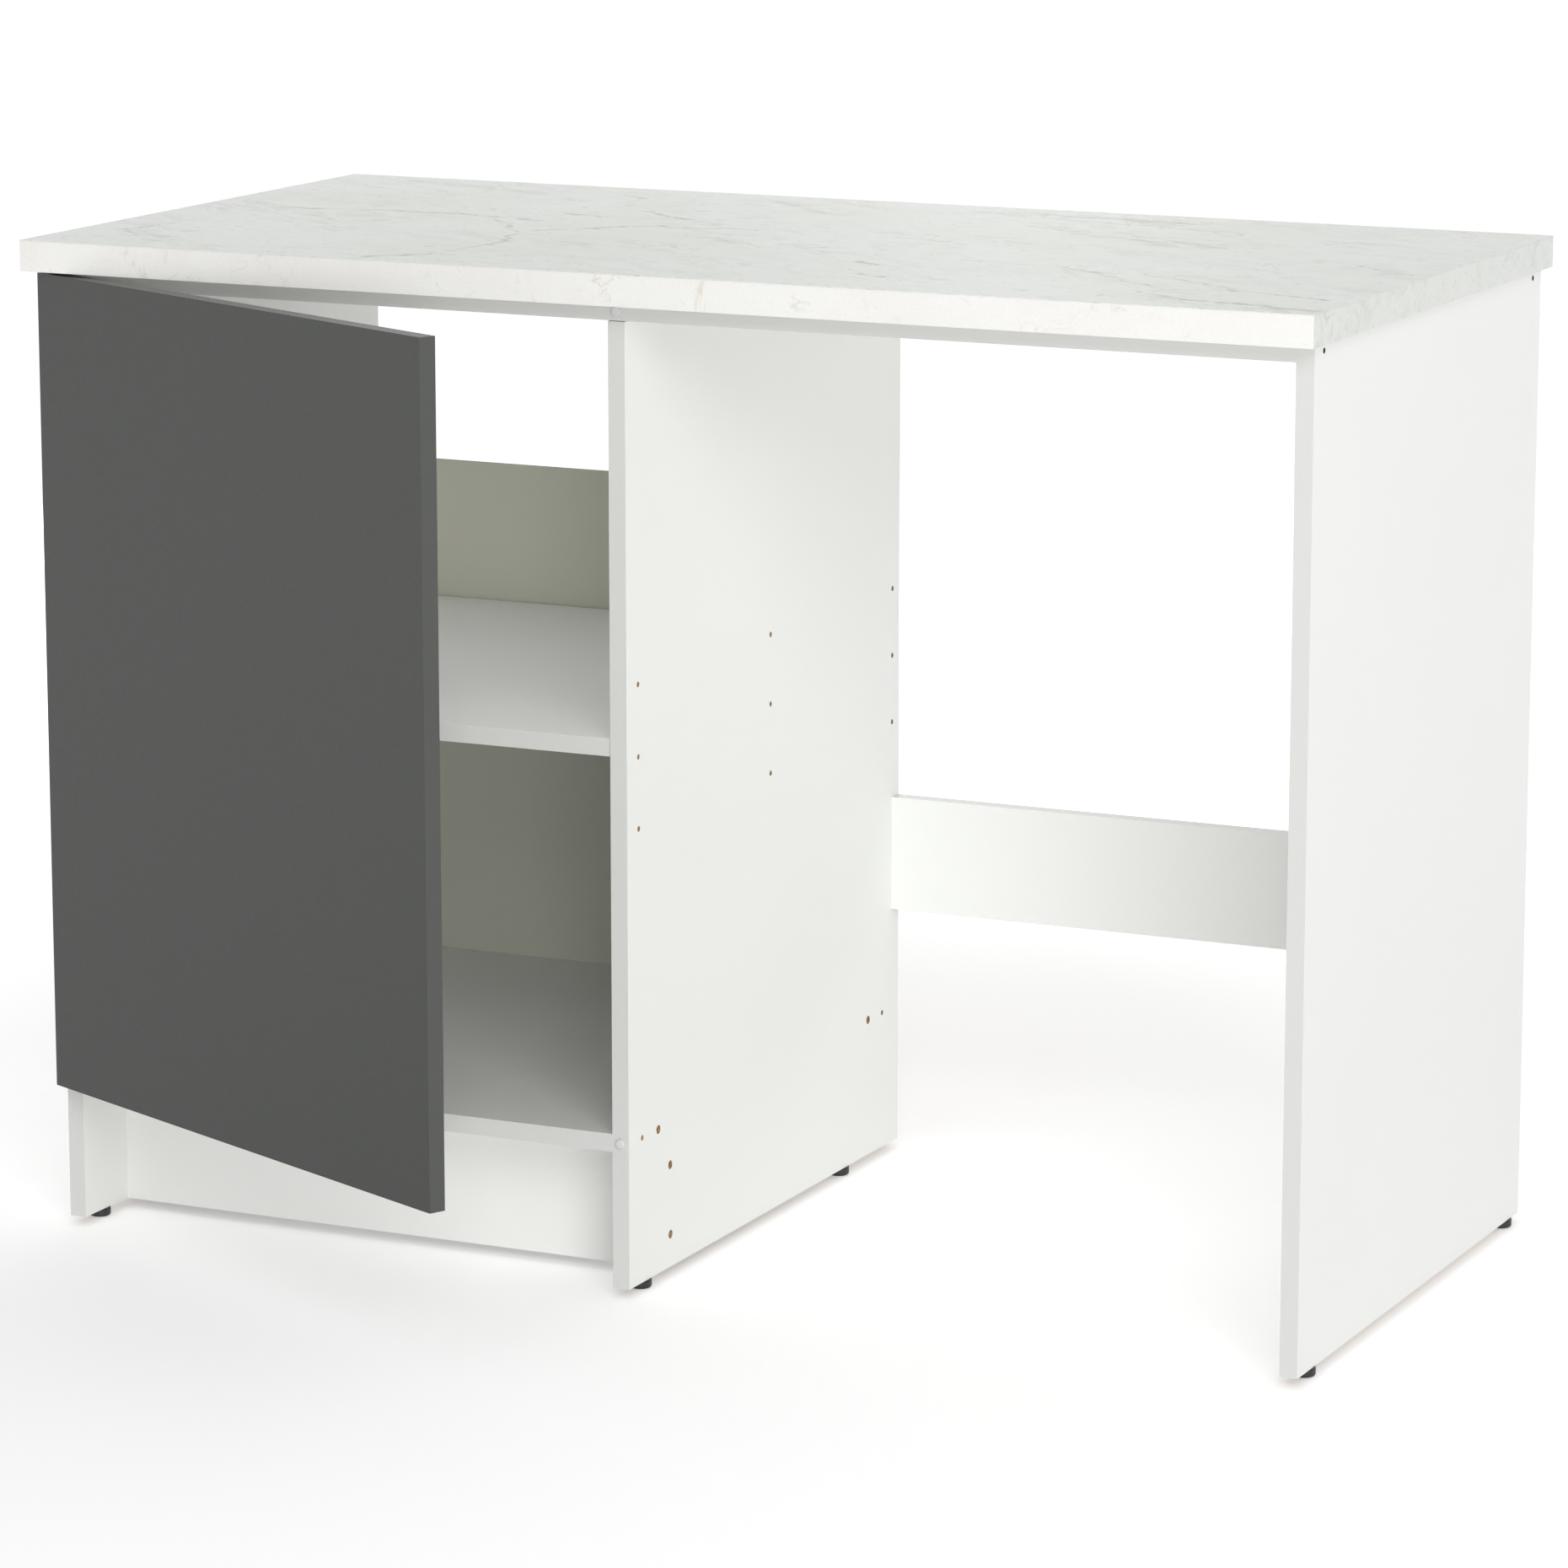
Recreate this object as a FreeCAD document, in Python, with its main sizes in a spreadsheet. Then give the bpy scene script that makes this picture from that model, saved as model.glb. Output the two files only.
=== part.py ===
import FreeCAD, Part
import os
import re

# Kitchen base cabinet: a cupboard with one door on the left, an open bay on the right, one worktop over both.
# Millimetres. +X to the right, +Y to the back, +Z up, origin on the floor under the left front foot.
doc = FreeCAD.newDocument("KitchenBaseCabinet")
sheet = doc.addObject("Spreadsheet::Sheet", "Sizes")

SIZES = [
    # overall
    ("total_height", 910),
    ("worktop_width", 1220),
    ("worktop_depth", 610),
    ("worktop_thick", 28),
    ("laminate_thick", 0.8),
    ("edging_thick", 1),
    ("side_overhang", 10),
    ("front_setback", 31),
    # carcass boards
    ("board_thick", 16),
    ("cupboard_width", 574),
    ("rail_depth", 60),
    ("plinth_height", 124),
    ("plinth_setback", 74),
    ("stretcher_height", 109),
    ("stretcher_bottom", 237),
    ("hardboard_thick", 3),
    ("hardboard_top", 636),
    ("hardboard_margin", 2),
    # feet
    ("foot_height", 8),
    ("foot_radius", 10),
    ("foot_rounding", 2.5),
    ("foot_stem_radius", 3),
    ("foot_stem_length", 14),
    ("foot_front_inset", 38),
    ("foot_rear_inset", 25),
    ("foot_mid_rear_inset", 118),
    # shelf and its pins
    ("shelf_end_gap", 1),
    ("shelf_front_gap", 1.6),
    ("shelf_rear_gap", 2),
    ("pin_radius", 2.5),
    ("pin_hole_depth", 7),
    ("pin_row_height", 482.8),
    ("pin_row_pitch", 64),
    ("pin_front_inset", 22.5),
    ("pin_rear_inset", 16),
    ("pin_tab_reach", 9),
    ("pin_tab_width", 10),
    ("pin_tab_drop", 2),
    # dowels, cam fittings and screws
    ("dowel_radius", 4),
    ("dowel_in_panel", 9),
    ("dowel_in_board", 21),
    ("cam_bolt_radius", 2.5),
    ("cam_bolt_in_panel", 9),
    ("cam_reach", 24),
    ("cam_nut_radius", 7.5),
    ("cam_nut_depth", 12.5),
    ("cam_front_inset", 26.5),
    ("cam_rear_inset", 37),
    ("cam_to_dowel", 32),
    ("spare_hole_depth", 6),
    ("plinth_dowel_pitch", 64),
    ("stretcher_dowel_inset", 20),
    ("rail_screw_inset", 22),
    ("rail_screw_recess", 1),
    ("rail_screw_head_radius", 2.5),
    ("rail_screw_shank_radius", 2),
    ("rail_screw_bite", 34),
    ("rail_dowel_inset", 45),
    ("post_screw_inset", 34),
    ("post_screw_head_radius", 4.5),
    ("post_screw_head_thick", 3),
    ("post_screw_shank_radius", 2),
    ("post_screw_bite", 34),
    ("top_screw_inset", 150),
    ("top_screw_radius", 2),
    ("top_screw_bite", 15),
    ("top_screw_head_radius", 4.5),
    ("top_screw_head_thick", 2.5),
    ("nail_radius", 0.7),
    ("nail_length", 16),
    ("nail_head_radius", 2.2),
    ("nail_head_thick", 0.8),
    ("nail_edge_inset", 6),
    # door
    ("door_side_gap", 4),
    ("door_top_gap", 2.5),
    ("door_thick", 16),
    ("door_gap", 3),
    ("door_bottom_lap", 13),
    ("door_ajar", 25),
    ("bumper_radius", 4.3),
    ("bumper_slack", 0.3),
    ("bumper_stem_radius", 2.5),
    ("bumper_stem_length", 8),
    # single-pin concealed hinges
    ("hinge_end_inset", 100),
    ("hinge_edge_offset", 7.2),
    ("hinge_rear_offset", 9.5),
    ("hinge_pin_radius", 1.2),
    ("hinge_pin_half", 8),
    ("hinge_running_gap", 0.05),
    ("cup_edge_margin", 3),
    ("cup_radius", 17.5),
    ("cup_depth", 13),
    ("cup_wall", 0.8),
    ("cup_lug_inner", 5.6),
    ("cup_lug_outer", 8),
    ("cup_lug_radius", 2.4),
    ("cup_flange_thick", 0.8),
    ("cup_flange_width", 18),
    ("cup_flange_half_height", 31),
    ("cup_screw_offset", 7),
    ("cup_screw_pitch", 48),
    ("small_screw_radius", 1.75),
    ("small_screw_head_radius", 3.6),
    ("small_screw_head_thick", 1.8),
    ("small_screw_bite", 11),
    ("arm_eye_radius", 2.2),
    ("arm_half_width", 5),
    ("arm_thick", 3),
    ("arm_length", 62),
    ("plate_thick", 2.4),
    ("plate_length", 46),
    ("plate_width", 14),
    ("plate_screw_inset", 37),
    ("plate_screw_pitch", 32),
    ("plate_wing_length", 14),
    ("plate_wing_half_height", 23),
    ("arm_screw_inset", 47),
]

for row, (alias, value) in enumerate(SIZES, start=1):
    sheet.set(f"A{row}", alias)
    sheet.set(f"B{row}", str(value))
    sheet.setAlias(f"B{row}", alias)
doc.recompute()

ALIASES = re.compile(r"\b(" + "|".join(alias for alias, value in SIZES) + r")\b")

# Planes that several pieces share, as expressions of the sheet's values.
LEFT_OUT = "(-board_thick / 2)"
LEFT_IN = "(board_thick / 2)"
MID_RIGHT = f"({LEFT_OUT} + cupboard_width)"
MID_LEFT = f"({MID_RIGHT} - board_thick)"
TOP_LEFT = f"({LEFT_OUT} - side_overhang)"
TOP_RIGHT = f"({TOP_LEFT} + worktop_width)"
RIGHT_OUT = f"({TOP_RIGHT} - side_overhang)"
RIGHT_IN = f"({RIGHT_OUT} - board_thick)"
FRONT = "(-foot_front_inset)"
TOP_FRONT = f"({FRONT} - front_setback)"
REAR = f"({TOP_FRONT} + worktop_depth - hardboard_thick)"
UNDER_TOP = "(total_height - worktop_thick)"
UNDER_RAIL = f"({UNDER_TOP} - board_thick)"
BOTTOM_LOW = "(foot_height + plinth_height)"
BOTTOM_HIGH = f"({BOTTOM_LOW} + board_thick)"
BOTTOM_MID = f"({BOTTOM_LOW} + board_thick / 2)"
RAIL_MID = f"({UNDER_RAIL} + board_thick / 2)"
DOOR_REAR = f"({FRONT} - door_gap)"
DOOR_FRONT = f"({DOOR_REAR} - door_thick)"
DOOR_LOW = f"({BOTTOM_HIGH} - door_bottom_lap)"
DOOR_HIGH = f"({UNDER_TOP} - door_top_gap)"
DOOR_RIGHT = f"({MID_RIGHT} - door_side_gap)"
PIVOT_X = f"({LEFT_OUT} + hinge_edge_offset)"
PIVOT_Y = f"({DOOR_REAR} - hinge_rear_offset)"
CUP_X = f"({LEFT_OUT} + cup_edge_margin + cup_radius)"
CUP_FLOOR = f"({DOOR_REAR} - cup_depth)"
HINGE_HEIGHTS = {
    "lower": f"({DOOR_LOW} + hinge_end_inset)",
    "upper": f"({DOOR_HIGH} - hinge_end_inset)",
}
CAM_SPOTS = [f"({FRONT} + cam_front_inset)", f"({REAR} - cam_rear_inset)"]
DOWEL_SPOTS = [f"({FRONT} + cam_front_inset + cam_to_dowel)", f"({REAR} - cam_rear_inset - cam_to_dowel)"]
PLINTH_MID_Y = f"({FRONT} + plinth_setback + board_thick / 2)"
PLINTH_DOWELS = [f"(foot_height + plinth_height / 2 {sign} plinth_dowel_pitch / 2)" for sign in "-+"]
PIN_COLUMNS = [f"({FRONT} + pin_front_inset)", f"({REAR} - pin_rear_inset)"]
PIN_MID_COLUMN = f"(({PIN_COLUMNS[0]} + {PIN_COLUMNS[1]}) / 2)"
PIN_ROWS = [f"(pin_row_height + {step} * pin_row_pitch)" for step in (-1, 0, 1)]
SHELF_LOW = "(pin_row_height + pin_radius)"
STRETCHER_MID_Y = f"({REAR} - board_thick / 2)"
STRETCHER_DOWELS = [
    "(stretcher_bottom + stretcher_dowel_inset)",
    "(stretcher_bottom + stretcher_height - stretcher_dowel_inset)",
]
STRETCHER_CAM = "(stretcher_bottom + stretcher_height / 2)"
RAIL_SCREWS = [f"({FRONT} + rail_screw_inset)", f"({REAR} - rail_screw_inset)"]
RAIL_DOWELS = [f"({FRONT} + rail_dowel_inset)", f"({REAR} - rail_dowel_inset)"]
POST_SCREWS = [f"({FRONT} + post_screw_inset)", f"({REAR} - post_screw_inset)"]
POST_X = f"({MID_LEFT} + board_thick / 2)"
TOP_SCREW_COLUMNS = [
    f"({LEFT_IN} + top_screw_inset)",
    f"({MID_RIGHT} + top_screw_inset)",
    f"({RIGHT_IN} - top_screw_inset)",
]

TURNS = {
    "+z": FreeCAD.Rotation(),
    "-z": FreeCAD.Rotation(FreeCAD.Vector(1, 0, 0), 180),
    "+x": FreeCAD.Rotation(FreeCAD.Vector(0, 1, 0), 90),
    "-x": FreeCAD.Rotation(FreeCAD.Vector(0, 1, 0), -90),
    "+y": FreeCAD.Rotation(FreeCAD.Vector(1, 0, 0), -90),
    "-y": FreeCAD.Rotation(FreeCAD.Vector(1, 0, 0), 90),
}
pieces = []


def bind(thing, field, expression):
    """Bind a property to an expression of the sheet's aliases."""
    thing.setExpression(field, ALIASES.sub(r"Sizes.\1", expression))


def place(thing, at):
    for axis, expression in zip("xyz", at):
        bind(thing, f"Placement.Base.{axis}", expression)


def box(low, high):
    """A box between two corners given as expressions."""
    solid = doc.addObject("Part::Box", "Box")
    for field, start, end in zip(("Length", "Width", "Height"), low, high):
        bind(solid, field, f"({end}) - ({start})")
    place(solid, low)
    return solid


def rod(radius, length, at, way="+z"):
    """A round rod from the centre of its first end, along one of the six axis directions."""
    solid = doc.addObject("Part::Cylinder", "Rod")
    solid.Placement = FreeCAD.Placement(FreeCAD.Vector(), TURNS[way])
    bind(solid, "Radius", radius)
    bind(solid, "Height", length)
    place(solid, at)
    return solid


def fuse(solids):
    if len(solids) == 1:
        return solids[0]
    joined = doc.addObject("Part::MultiFuse", "Fuse")
    joined.Shapes = solids
    return joined


def cut(base, tools):
    trimmed = doc.addObject("Part::Cut", "Cut")
    trimmed.Base = base
    trimmed.Tool = fuse(tools)
    return trimmed


def group(solids):
    """Separate solids that share one node."""
    gathered = doc.addObject("Part::Compound", "Group")
    gathered.Links = solids
    return gathered


def piece(name, solid):
    """Name the object that is written out as a piece of the cabinet."""
    solid.Label = name
    pieces.append(solid)
    return solid


def door_piece(name, solid):
    """A piece drawn with the door closed and turned about the hinge pins to the ajar rest pose."""
    bind(solid, "Placement.Rotation.Angle", "-door_ajar")
    bind(solid, "Placement.Base.x", f"{PIVOT_X} * (1 - cos(door_ajar)) - {PIVOT_Y} * sin(door_ajar)")
    bind(solid, "Placement.Base.y", f"{PIVOT_Y} * (1 - cos(door_ajar)) + {PIVOT_X} * sin(door_ajar)")
    return piece(name, solid)


# Holes and fittings are collected here by the board that they go through.
holes = {name: [] for name in (
    "left_side_panel", "middle_side_panel", "right_end_panel", "bottom_panel", "plinth",
    "stretcher", "front_rail", "rear_rail", "worktop_board", "back_panel",
)}
dowels = {"bottom": [], "plinth": [], "stretcher": [], "rail": []}
cam_bolts = []
cam_nuts = []


def dowel_joint(kind, panel, board, face, inward, y, z):
    """A wooden dowel across the joint between a panel's face and the end of a board."""
    outward = {"+x": "-x", "-x": "+x"}[inward]
    in_panel = rod("dowel_radius", "dowel_in_panel", (face, y, z), outward)
    in_board = rod("dowel_radius", "dowel_in_board", (face, y, z), inward)
    holes[panel].append(in_panel)
    holes[board].append(in_board)
    dowels[kind].append(fuse([in_panel, in_board]))


def cam_joint(panel, board, face, inward, y, z, nut_at, nut_way):
    """A cam bolt screwed into a panel's face, and the round cam nut in the board that draws it tight."""
    outward = {"+x": "-x", "-x": "+x"}[inward]
    sign = inward[0]
    thread = rod("cam_bolt_radius", "cam_bolt_in_panel", (face, y, z), outward)
    stem = rod("cam_bolt_radius", "cam_reach", (face, y, z), inward)
    holes[panel].append(thread)
    centre = f"({face} {sign} cam_reach)"
    nut = rod("cam_nut_radius", "cam_nut_depth", (centre, *nut_at), nut_way)
    cam_bolts.append(cut(fuse([thread, stem]), [nut]))
    cam_nuts.append(nut)
    holes[board] += [stem, nut]


for face, inward, panel in ((LEFT_IN, "+x", "left_side_panel"), (MID_LEFT, "-x", "middle_side_panel")):
    for y in CAM_SPOTS:
        cam_joint(panel, "bottom_panel", face, inward, y, BOTTOM_MID, (y, BOTTOM_LOW), "+z")
    for y in DOWEL_SPOTS:
        dowel_joint("bottom", panel, "bottom_panel", face, inward, y, BOTTOM_MID)
    for z in PLINTH_DOWELS:
        dowel_joint("plinth", panel, "plinth", face, inward, PLINTH_MID_Y, z)

for face, inward, panel in ((MID_RIGHT, "+x", "middle_side_panel"), (RIGHT_IN, "-x", "right_end_panel")):
    cam_joint(panel, "stretcher", face, inward, STRETCHER_MID_Y, STRETCHER_CAM, (REAR, STRETCHER_CAM), "-y")
    for z in STRETCHER_DOWELS:
        dowel_joint("stretcher", panel, "stretcher", face, inward, STRETCHER_MID_Y, z)

rail_screws = []
for face, inward, panel in ((LEFT_IN, "+x", "left_side_panel"), (RIGHT_IN, "-x", "right_end_panel")):
    outward = {"+x": "-x", "-x": "+x"}[inward]
    for rail, screw_y, dowel_y in zip(("front_rail", "rear_rail"), RAIL_SCREWS, RAIL_DOWELS):
        dowel_joint("rail", panel, rail, face, inward, dowel_y, RAIL_MID)
        holes[panel].append(rod("rail_screw_head_radius", "board_thick", (face, screw_y, RAIL_MID), outward))
        bite = rod("rail_screw_shank_radius", "rail_screw_bite", (face, screw_y, RAIL_MID), inward)
        head_length = "board_thick - rail_screw_recess"
        head = rod("rail_screw_head_radius", head_length, (face, screw_y, RAIL_MID), outward)
        holes[rail].append(bite)
        rail_screws.append(fuse([head, bite]))

# The middle panel stands under the rails, held by a screw from above in each of them.
post_screws = []
for rail, screw_y in zip(("front_rail", "rear_rail"), POST_SCREWS):
    head_low = f"({UNDER_TOP} - post_screw_head_thick)"
    head = rod("post_screw_head_radius", "post_screw_head_thick", (POST_X, screw_y, head_low))
    through = rod("post_screw_shank_radius", f"{head_low} - {UNDER_RAIL}", (POST_X, screw_y, UNDER_RAIL))
    bite = rod("post_screw_shank_radius", "post_screw_bite", (POST_X, screw_y, UNDER_RAIL), "-z")
    holes[rail] += [head, through]
    holes["middle_side_panel"].append(bite)
    post_screws.append(fuse([head, through, bite]))

# Worktop screws come up through the rails.
top_screws = []
for rail, y in (("front_rail", f"({FRONT} + rail_depth / 2)"), ("rear_rail", f"({REAR} - rail_depth / 2)")):
    for x in TOP_SCREW_COLUMNS:
        head = rod("top_screw_head_radius", "top_screw_head_thick", (x, y, UNDER_RAIL), "-z")
        through = rod("top_screw_radius", "board_thick", (x, y, UNDER_RAIL))
        bite = rod("top_screw_radius", "top_screw_bite", (x, y, UNDER_TOP))
        holes[rail].append(through)
        holes["worktop_board"].append(bite)
        top_screws.append(fuse([head, through, bite]))

# Shelf pins: three columns of holes in three rows, pegs with a flat tab in the middle row.
shelf_pins = []
pin_faces = (
    (LEFT_IN, "left_side_panel", "-x", "+"),
    (MID_LEFT, "middle_side_panel", "+x", "-"),
)
for face, panel, into, sign in pin_faces:
    for y in PIN_COLUMNS + [PIN_MID_COLUMN]:
        for z in PIN_ROWS:
            holes[panel].append(rod("pin_radius", "pin_hole_depth", (face, y, z), into))
    for y in PIN_COLUMNS:
        peg = rod("pin_radius", "pin_hole_depth", (face, y, "pin_row_height"), into)
        ends = [face, f"({face} {sign} pin_tab_reach)"]
        if sign == "-":
            ends.reverse()
        tab = box(
            (ends[0], f"{y} - pin_tab_width / 2", f"{SHELF_LOW} - 2 * pin_radius - pin_tab_drop"),
            (ends[1], f"{y} + pin_tab_width / 2", SHELF_LOW),
        )
        shelf_pins.append(fuse([peg, tab]))

# Open holes on the bay side of the middle panel, for a cupboard built the other way round.
for y in PIN_COLUMNS + [PIN_MID_COLUMN]:
    for z in PIN_ROWS:
        holes["middle_side_panel"].append(rod("pin_radius", "pin_hole_depth", (MID_RIGHT, y, z), "-x"))
spare_spots = [("cam_bolt_radius", y, BOTTOM_MID) for y in CAM_SPOTS]
spare_spots += [("dowel_radius", y, BOTTOM_MID) for y in DOWEL_SPOTS]
spare_spots += [("dowel_radius", PLINTH_MID_Y, z) for z in PLINTH_DOWELS]
for radius, y, z in spare_spots:
    holes["middle_side_panel"].append(rod(radius, "spare_hole_depth", (MID_RIGHT, y, z), "-x"))

# Feet: round glides pressed into the lower edges of the three upright panels.
foot_columns = (
    ("left", "left_side_panel", LEFT_OUT, "foot_rear_inset"),
    ("middle", "middle_side_panel", MID_LEFT, "foot_mid_rear_inset"),
    ("right", "right_end_panel", RIGHT_IN, "foot_rear_inset"),
)
for side, panel, panel_left, rear_inset in foot_columns:
    for end, y in (("front", f"({FRONT} + foot_front_inset)"), ("rear", f"({REAR} - {rear_inset})")):
        x = f"({panel_left} + board_thick / 2)"
        disc = rod("foot_radius", "foot_height - foot_rounding", (x, y, "foot_rounding"))
        sole = doc.addObject("Part::Cone", "Sole")
        bind(sole, "Radius1", "foot_radius - foot_rounding")
        bind(sole, "Radius2", "foot_radius")
        bind(sole, "Height", "foot_rounding")
        place(sole, (x, y, "0"))
        stem = rod("foot_stem_radius", "foot_stem_length", (x, y, "foot_height"))
        holes[panel].append(stem)
        piece(f"{side}_{end}_foot", fuse([disc, sole, stem]))

# Door bumpers, one in the front rail and one in the middle panel.
for name, board, z in (
    ("upper_door_bumper", "front_rail", RAIL_MID),
    ("lower_door_bumper", "middle_side_panel", BOTTOM_MID),
):
    stem = rod("bumper_stem_radius", "bumper_stem_length", (POST_X, FRONT, z), "+y")
    head = rod("bumper_radius", "door_gap - bumper_slack", (POST_X, FRONT, z), "-y")
    holes[board].append(stem)
    piece(name, fuse([stem, head]))

# Nails through the hardboard back into the two sides and the bottom.
nails = []
nail_lines = [(f"({LEFT_OUT} + board_thick / 2)", "left_side_panel"), (POST_X, "middle_side_panel")]
nail_spots = []
for x, panel in nail_lines:
    for share in (0.3, 0.55, 0.8):
        z = f"({BOTTOM_LOW} + {share} * (hardboard_top - {BOTTOM_LOW}))"
        nail_spots.append((x, z, panel))
    nail_spots.append((x, "(hardboard_top - 2 * nail_edge_inset)", panel))
for share in (0.15, 0.4, 0.6, 0.85):
    x = f"({LEFT_IN} + {share} * ({MID_LEFT} - {LEFT_IN}))"
    nail_spots.append((x, f"({BOTTOM_LOW} + nail_edge_inset)", "bottom_panel"))
for x, z, panel in nail_spots:
    back_face = f"({REAR} + hardboard_thick)"
    head = rod("nail_head_radius", "nail_head_thick", (x, back_face, z), "-y")
    through = rod("nail_radius", "hardboard_thick", (x, back_face, z), "-y")
    bite = rod("nail_radius", "nail_length - hardboard_thick", (x, REAR, z), "-y")
    holes["back_panel"] += [head, through]
    holes[panel].append(bite)
    nails.append(fuse([head, through, bite]))

# Concealed hinges: a cup let into the door holds a pin, and the arm's eye turns on that pin.
door_holes = []
cup_screws = []
plate_screws = []
arm_screws = []
for name, z in HINGE_HEIGHTS.items():
    boring = rod("cup_radius", "cup_depth", (CUP_X, DOOR_REAR, z), "-y")
    door_holes.append(boring)
    dish = rod("cup_radius", "cup_depth", (CUP_X, DOOR_REAR, z), "-y")
    hollow_depth = "cup_depth - cup_wall + cup_flange_thick"
    flange_face = f"({DOOR_REAR} + cup_flange_thick)"
    hollow = rod("cup_radius - cup_wall", hollow_depth, (CUP_X, flange_face, z), "-y")
    rim = rod("cup_radius + cup_wall", "cup_flange_thick", (CUP_X, DOOR_REAR, z), "+y")
    screw_x = f"({CUP_X} + cup_screw_offset)"
    wings = box(
        (f"{screw_x} - cup_flange_width / 2", DOOR_REAR, f"{z} - cup_flange_half_height"),
        (f"{screw_x} + cup_flange_width / 2", flange_face, f"{z} + cup_flange_half_height"),
    )
    shell = cut(fuse([dish, rim, wings]), [hollow])
    lugs = []
    for sign, way in (("-", "-z"), ("+", "+z")):
        start = f"({z} {sign} cup_lug_inner)"
        knuckle = rod("cup_lug_radius", "cup_lug_outer - cup_lug_inner", (PIVOT_X, PIVOT_Y, start), way)
        levels = [start, f"({z} {sign} cup_lug_outer)"]
        if sign == "-":
            levels.reverse()
        post = box(
            (f"{PIVOT_X} - cup_lug_radius", f"{CUP_FLOOR} + cup_wall / 2", levels[0]),
            (f"{PIVOT_X} + cup_lug_radius", PIVOT_Y, levels[1]),
        )
        lugs.append(fuse([knuckle, post]))
    inside = doc.addObject("Part::MultiCommon", "LugsInCup")
    inside.Shapes = [fuse(lugs), dish]
    pin_low = f"({z} - hinge_pin_half)"
    pin = rod("hinge_pin_radius", "2 * hinge_pin_half", (PIVOT_X, PIVOT_Y, pin_low))
    screw_holes = []
    for sign in "-+":
        spot = (screw_x, flange_face, f"({z} {sign} cup_screw_pitch / 2)")
        shank = rod("small_screw_radius", "small_screw_bite", spot, "-y")
        head = rod("small_screw_head_radius", "small_screw_head_thick", spot, "+y")
        screw_holes.append(shank)
        cup_screws.append(fuse([head, shank]))
    door_holes += screw_holes
    door_piece(f"{name}_hinge_cup", cut(fuse([shell, inside]), [pin] + screw_holes))
    door_piece(f"{name}_hinge_pin", group([pin]))

    plate_face = f"({LEFT_IN} + plate_thick)"
    screw_y = f"({FRONT} + plate_screw_inset)"
    plate_front = f"({screw_y} - plate_wing_length / 2)"
    strip = box(
        (LEFT_IN, f"{plate_front} - plate_wing_length / 2", f"{z} - plate_width / 2"),
        (plate_face, f"{plate_front} - plate_wing_length / 2 + plate_length", f"{z} + plate_width / 2"),
    )
    wing = box(
        (LEFT_IN, plate_front, f"{z} - plate_wing_half_height"),
        (plate_face, f"{plate_front} + plate_wing_length", f"{z} + plate_wing_half_height"),
    )
    plate_shanks = []
    for sign in "-+":
        spot = (plate_face, screw_y, f"({z} {sign} plate_screw_pitch / 2)")
        shank = rod("small_screw_radius", "small_screw_bite", spot, "-x")
        head = rod("small_screw_head_radius", "small_screw_head_thick", spot, "+x")
        plate_shanks.append(shank)
        plate_screws.append(fuse([head, shank]))
    holes["left_side_panel"] += plate_shanks

    arm_face = f"({plate_face} + arm_thick)"
    arm_low = f"({z} - arm_half_width)"
    arm_high = f"({z} + arm_half_width)"
    leg = box(
        (plate_face, f"{PIVOT_Y} - arm_thick / 2", arm_low),
        (arm_face, f"{FRONT} + arm_length", arm_high),
    )
    nose = box(
        (PIVOT_X, f"{PIVOT_Y} - arm_thick / 2", arm_low),
        (plate_face, f"{PIVOT_Y} + arm_thick / 2", arm_high),
    )
    eye = rod("arm_eye_radius", "2 * arm_half_width", (PIVOT_X, PIVOT_Y, arm_low))
    bore = rod("hinge_pin_radius + hinge_running_gap", "2 * arm_half_width", (PIVOT_X, PIVOT_Y, arm_low))
    arm_spot = (arm_face, f"({FRONT} + arm_screw_inset)", z)
    arm_shank = rod("small_screw_radius", "arm_thick + plate_thick", arm_spot, "-x")
    arm_head = rod("small_screw_head_radius", "small_screw_head_thick", arm_spot, "+x")
    arm_screws.append(fuse([arm_head, arm_shank]))
    piece(f"{name}_hinge_plate", cut(fuse([strip, wing]), plate_shanks + [arm_shank]))
    piece(f"{name}_hinge_arm", cut(fuse([leg, nose, eye]), [bore, arm_shank]))

door_board = box(
    (LEFT_OUT, DOOR_FRONT, DOOR_LOW),
    (DOOR_RIGHT, DOOR_REAR, DOOR_HIGH),
)
door_piece("door", cut(door_board, door_holes))
door_piece("hinge_cup_screws", group(cup_screws))
piece("hinge_plate_screws", group(plate_screws))
piece("hinge_arm_screws", group(arm_screws))

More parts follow.
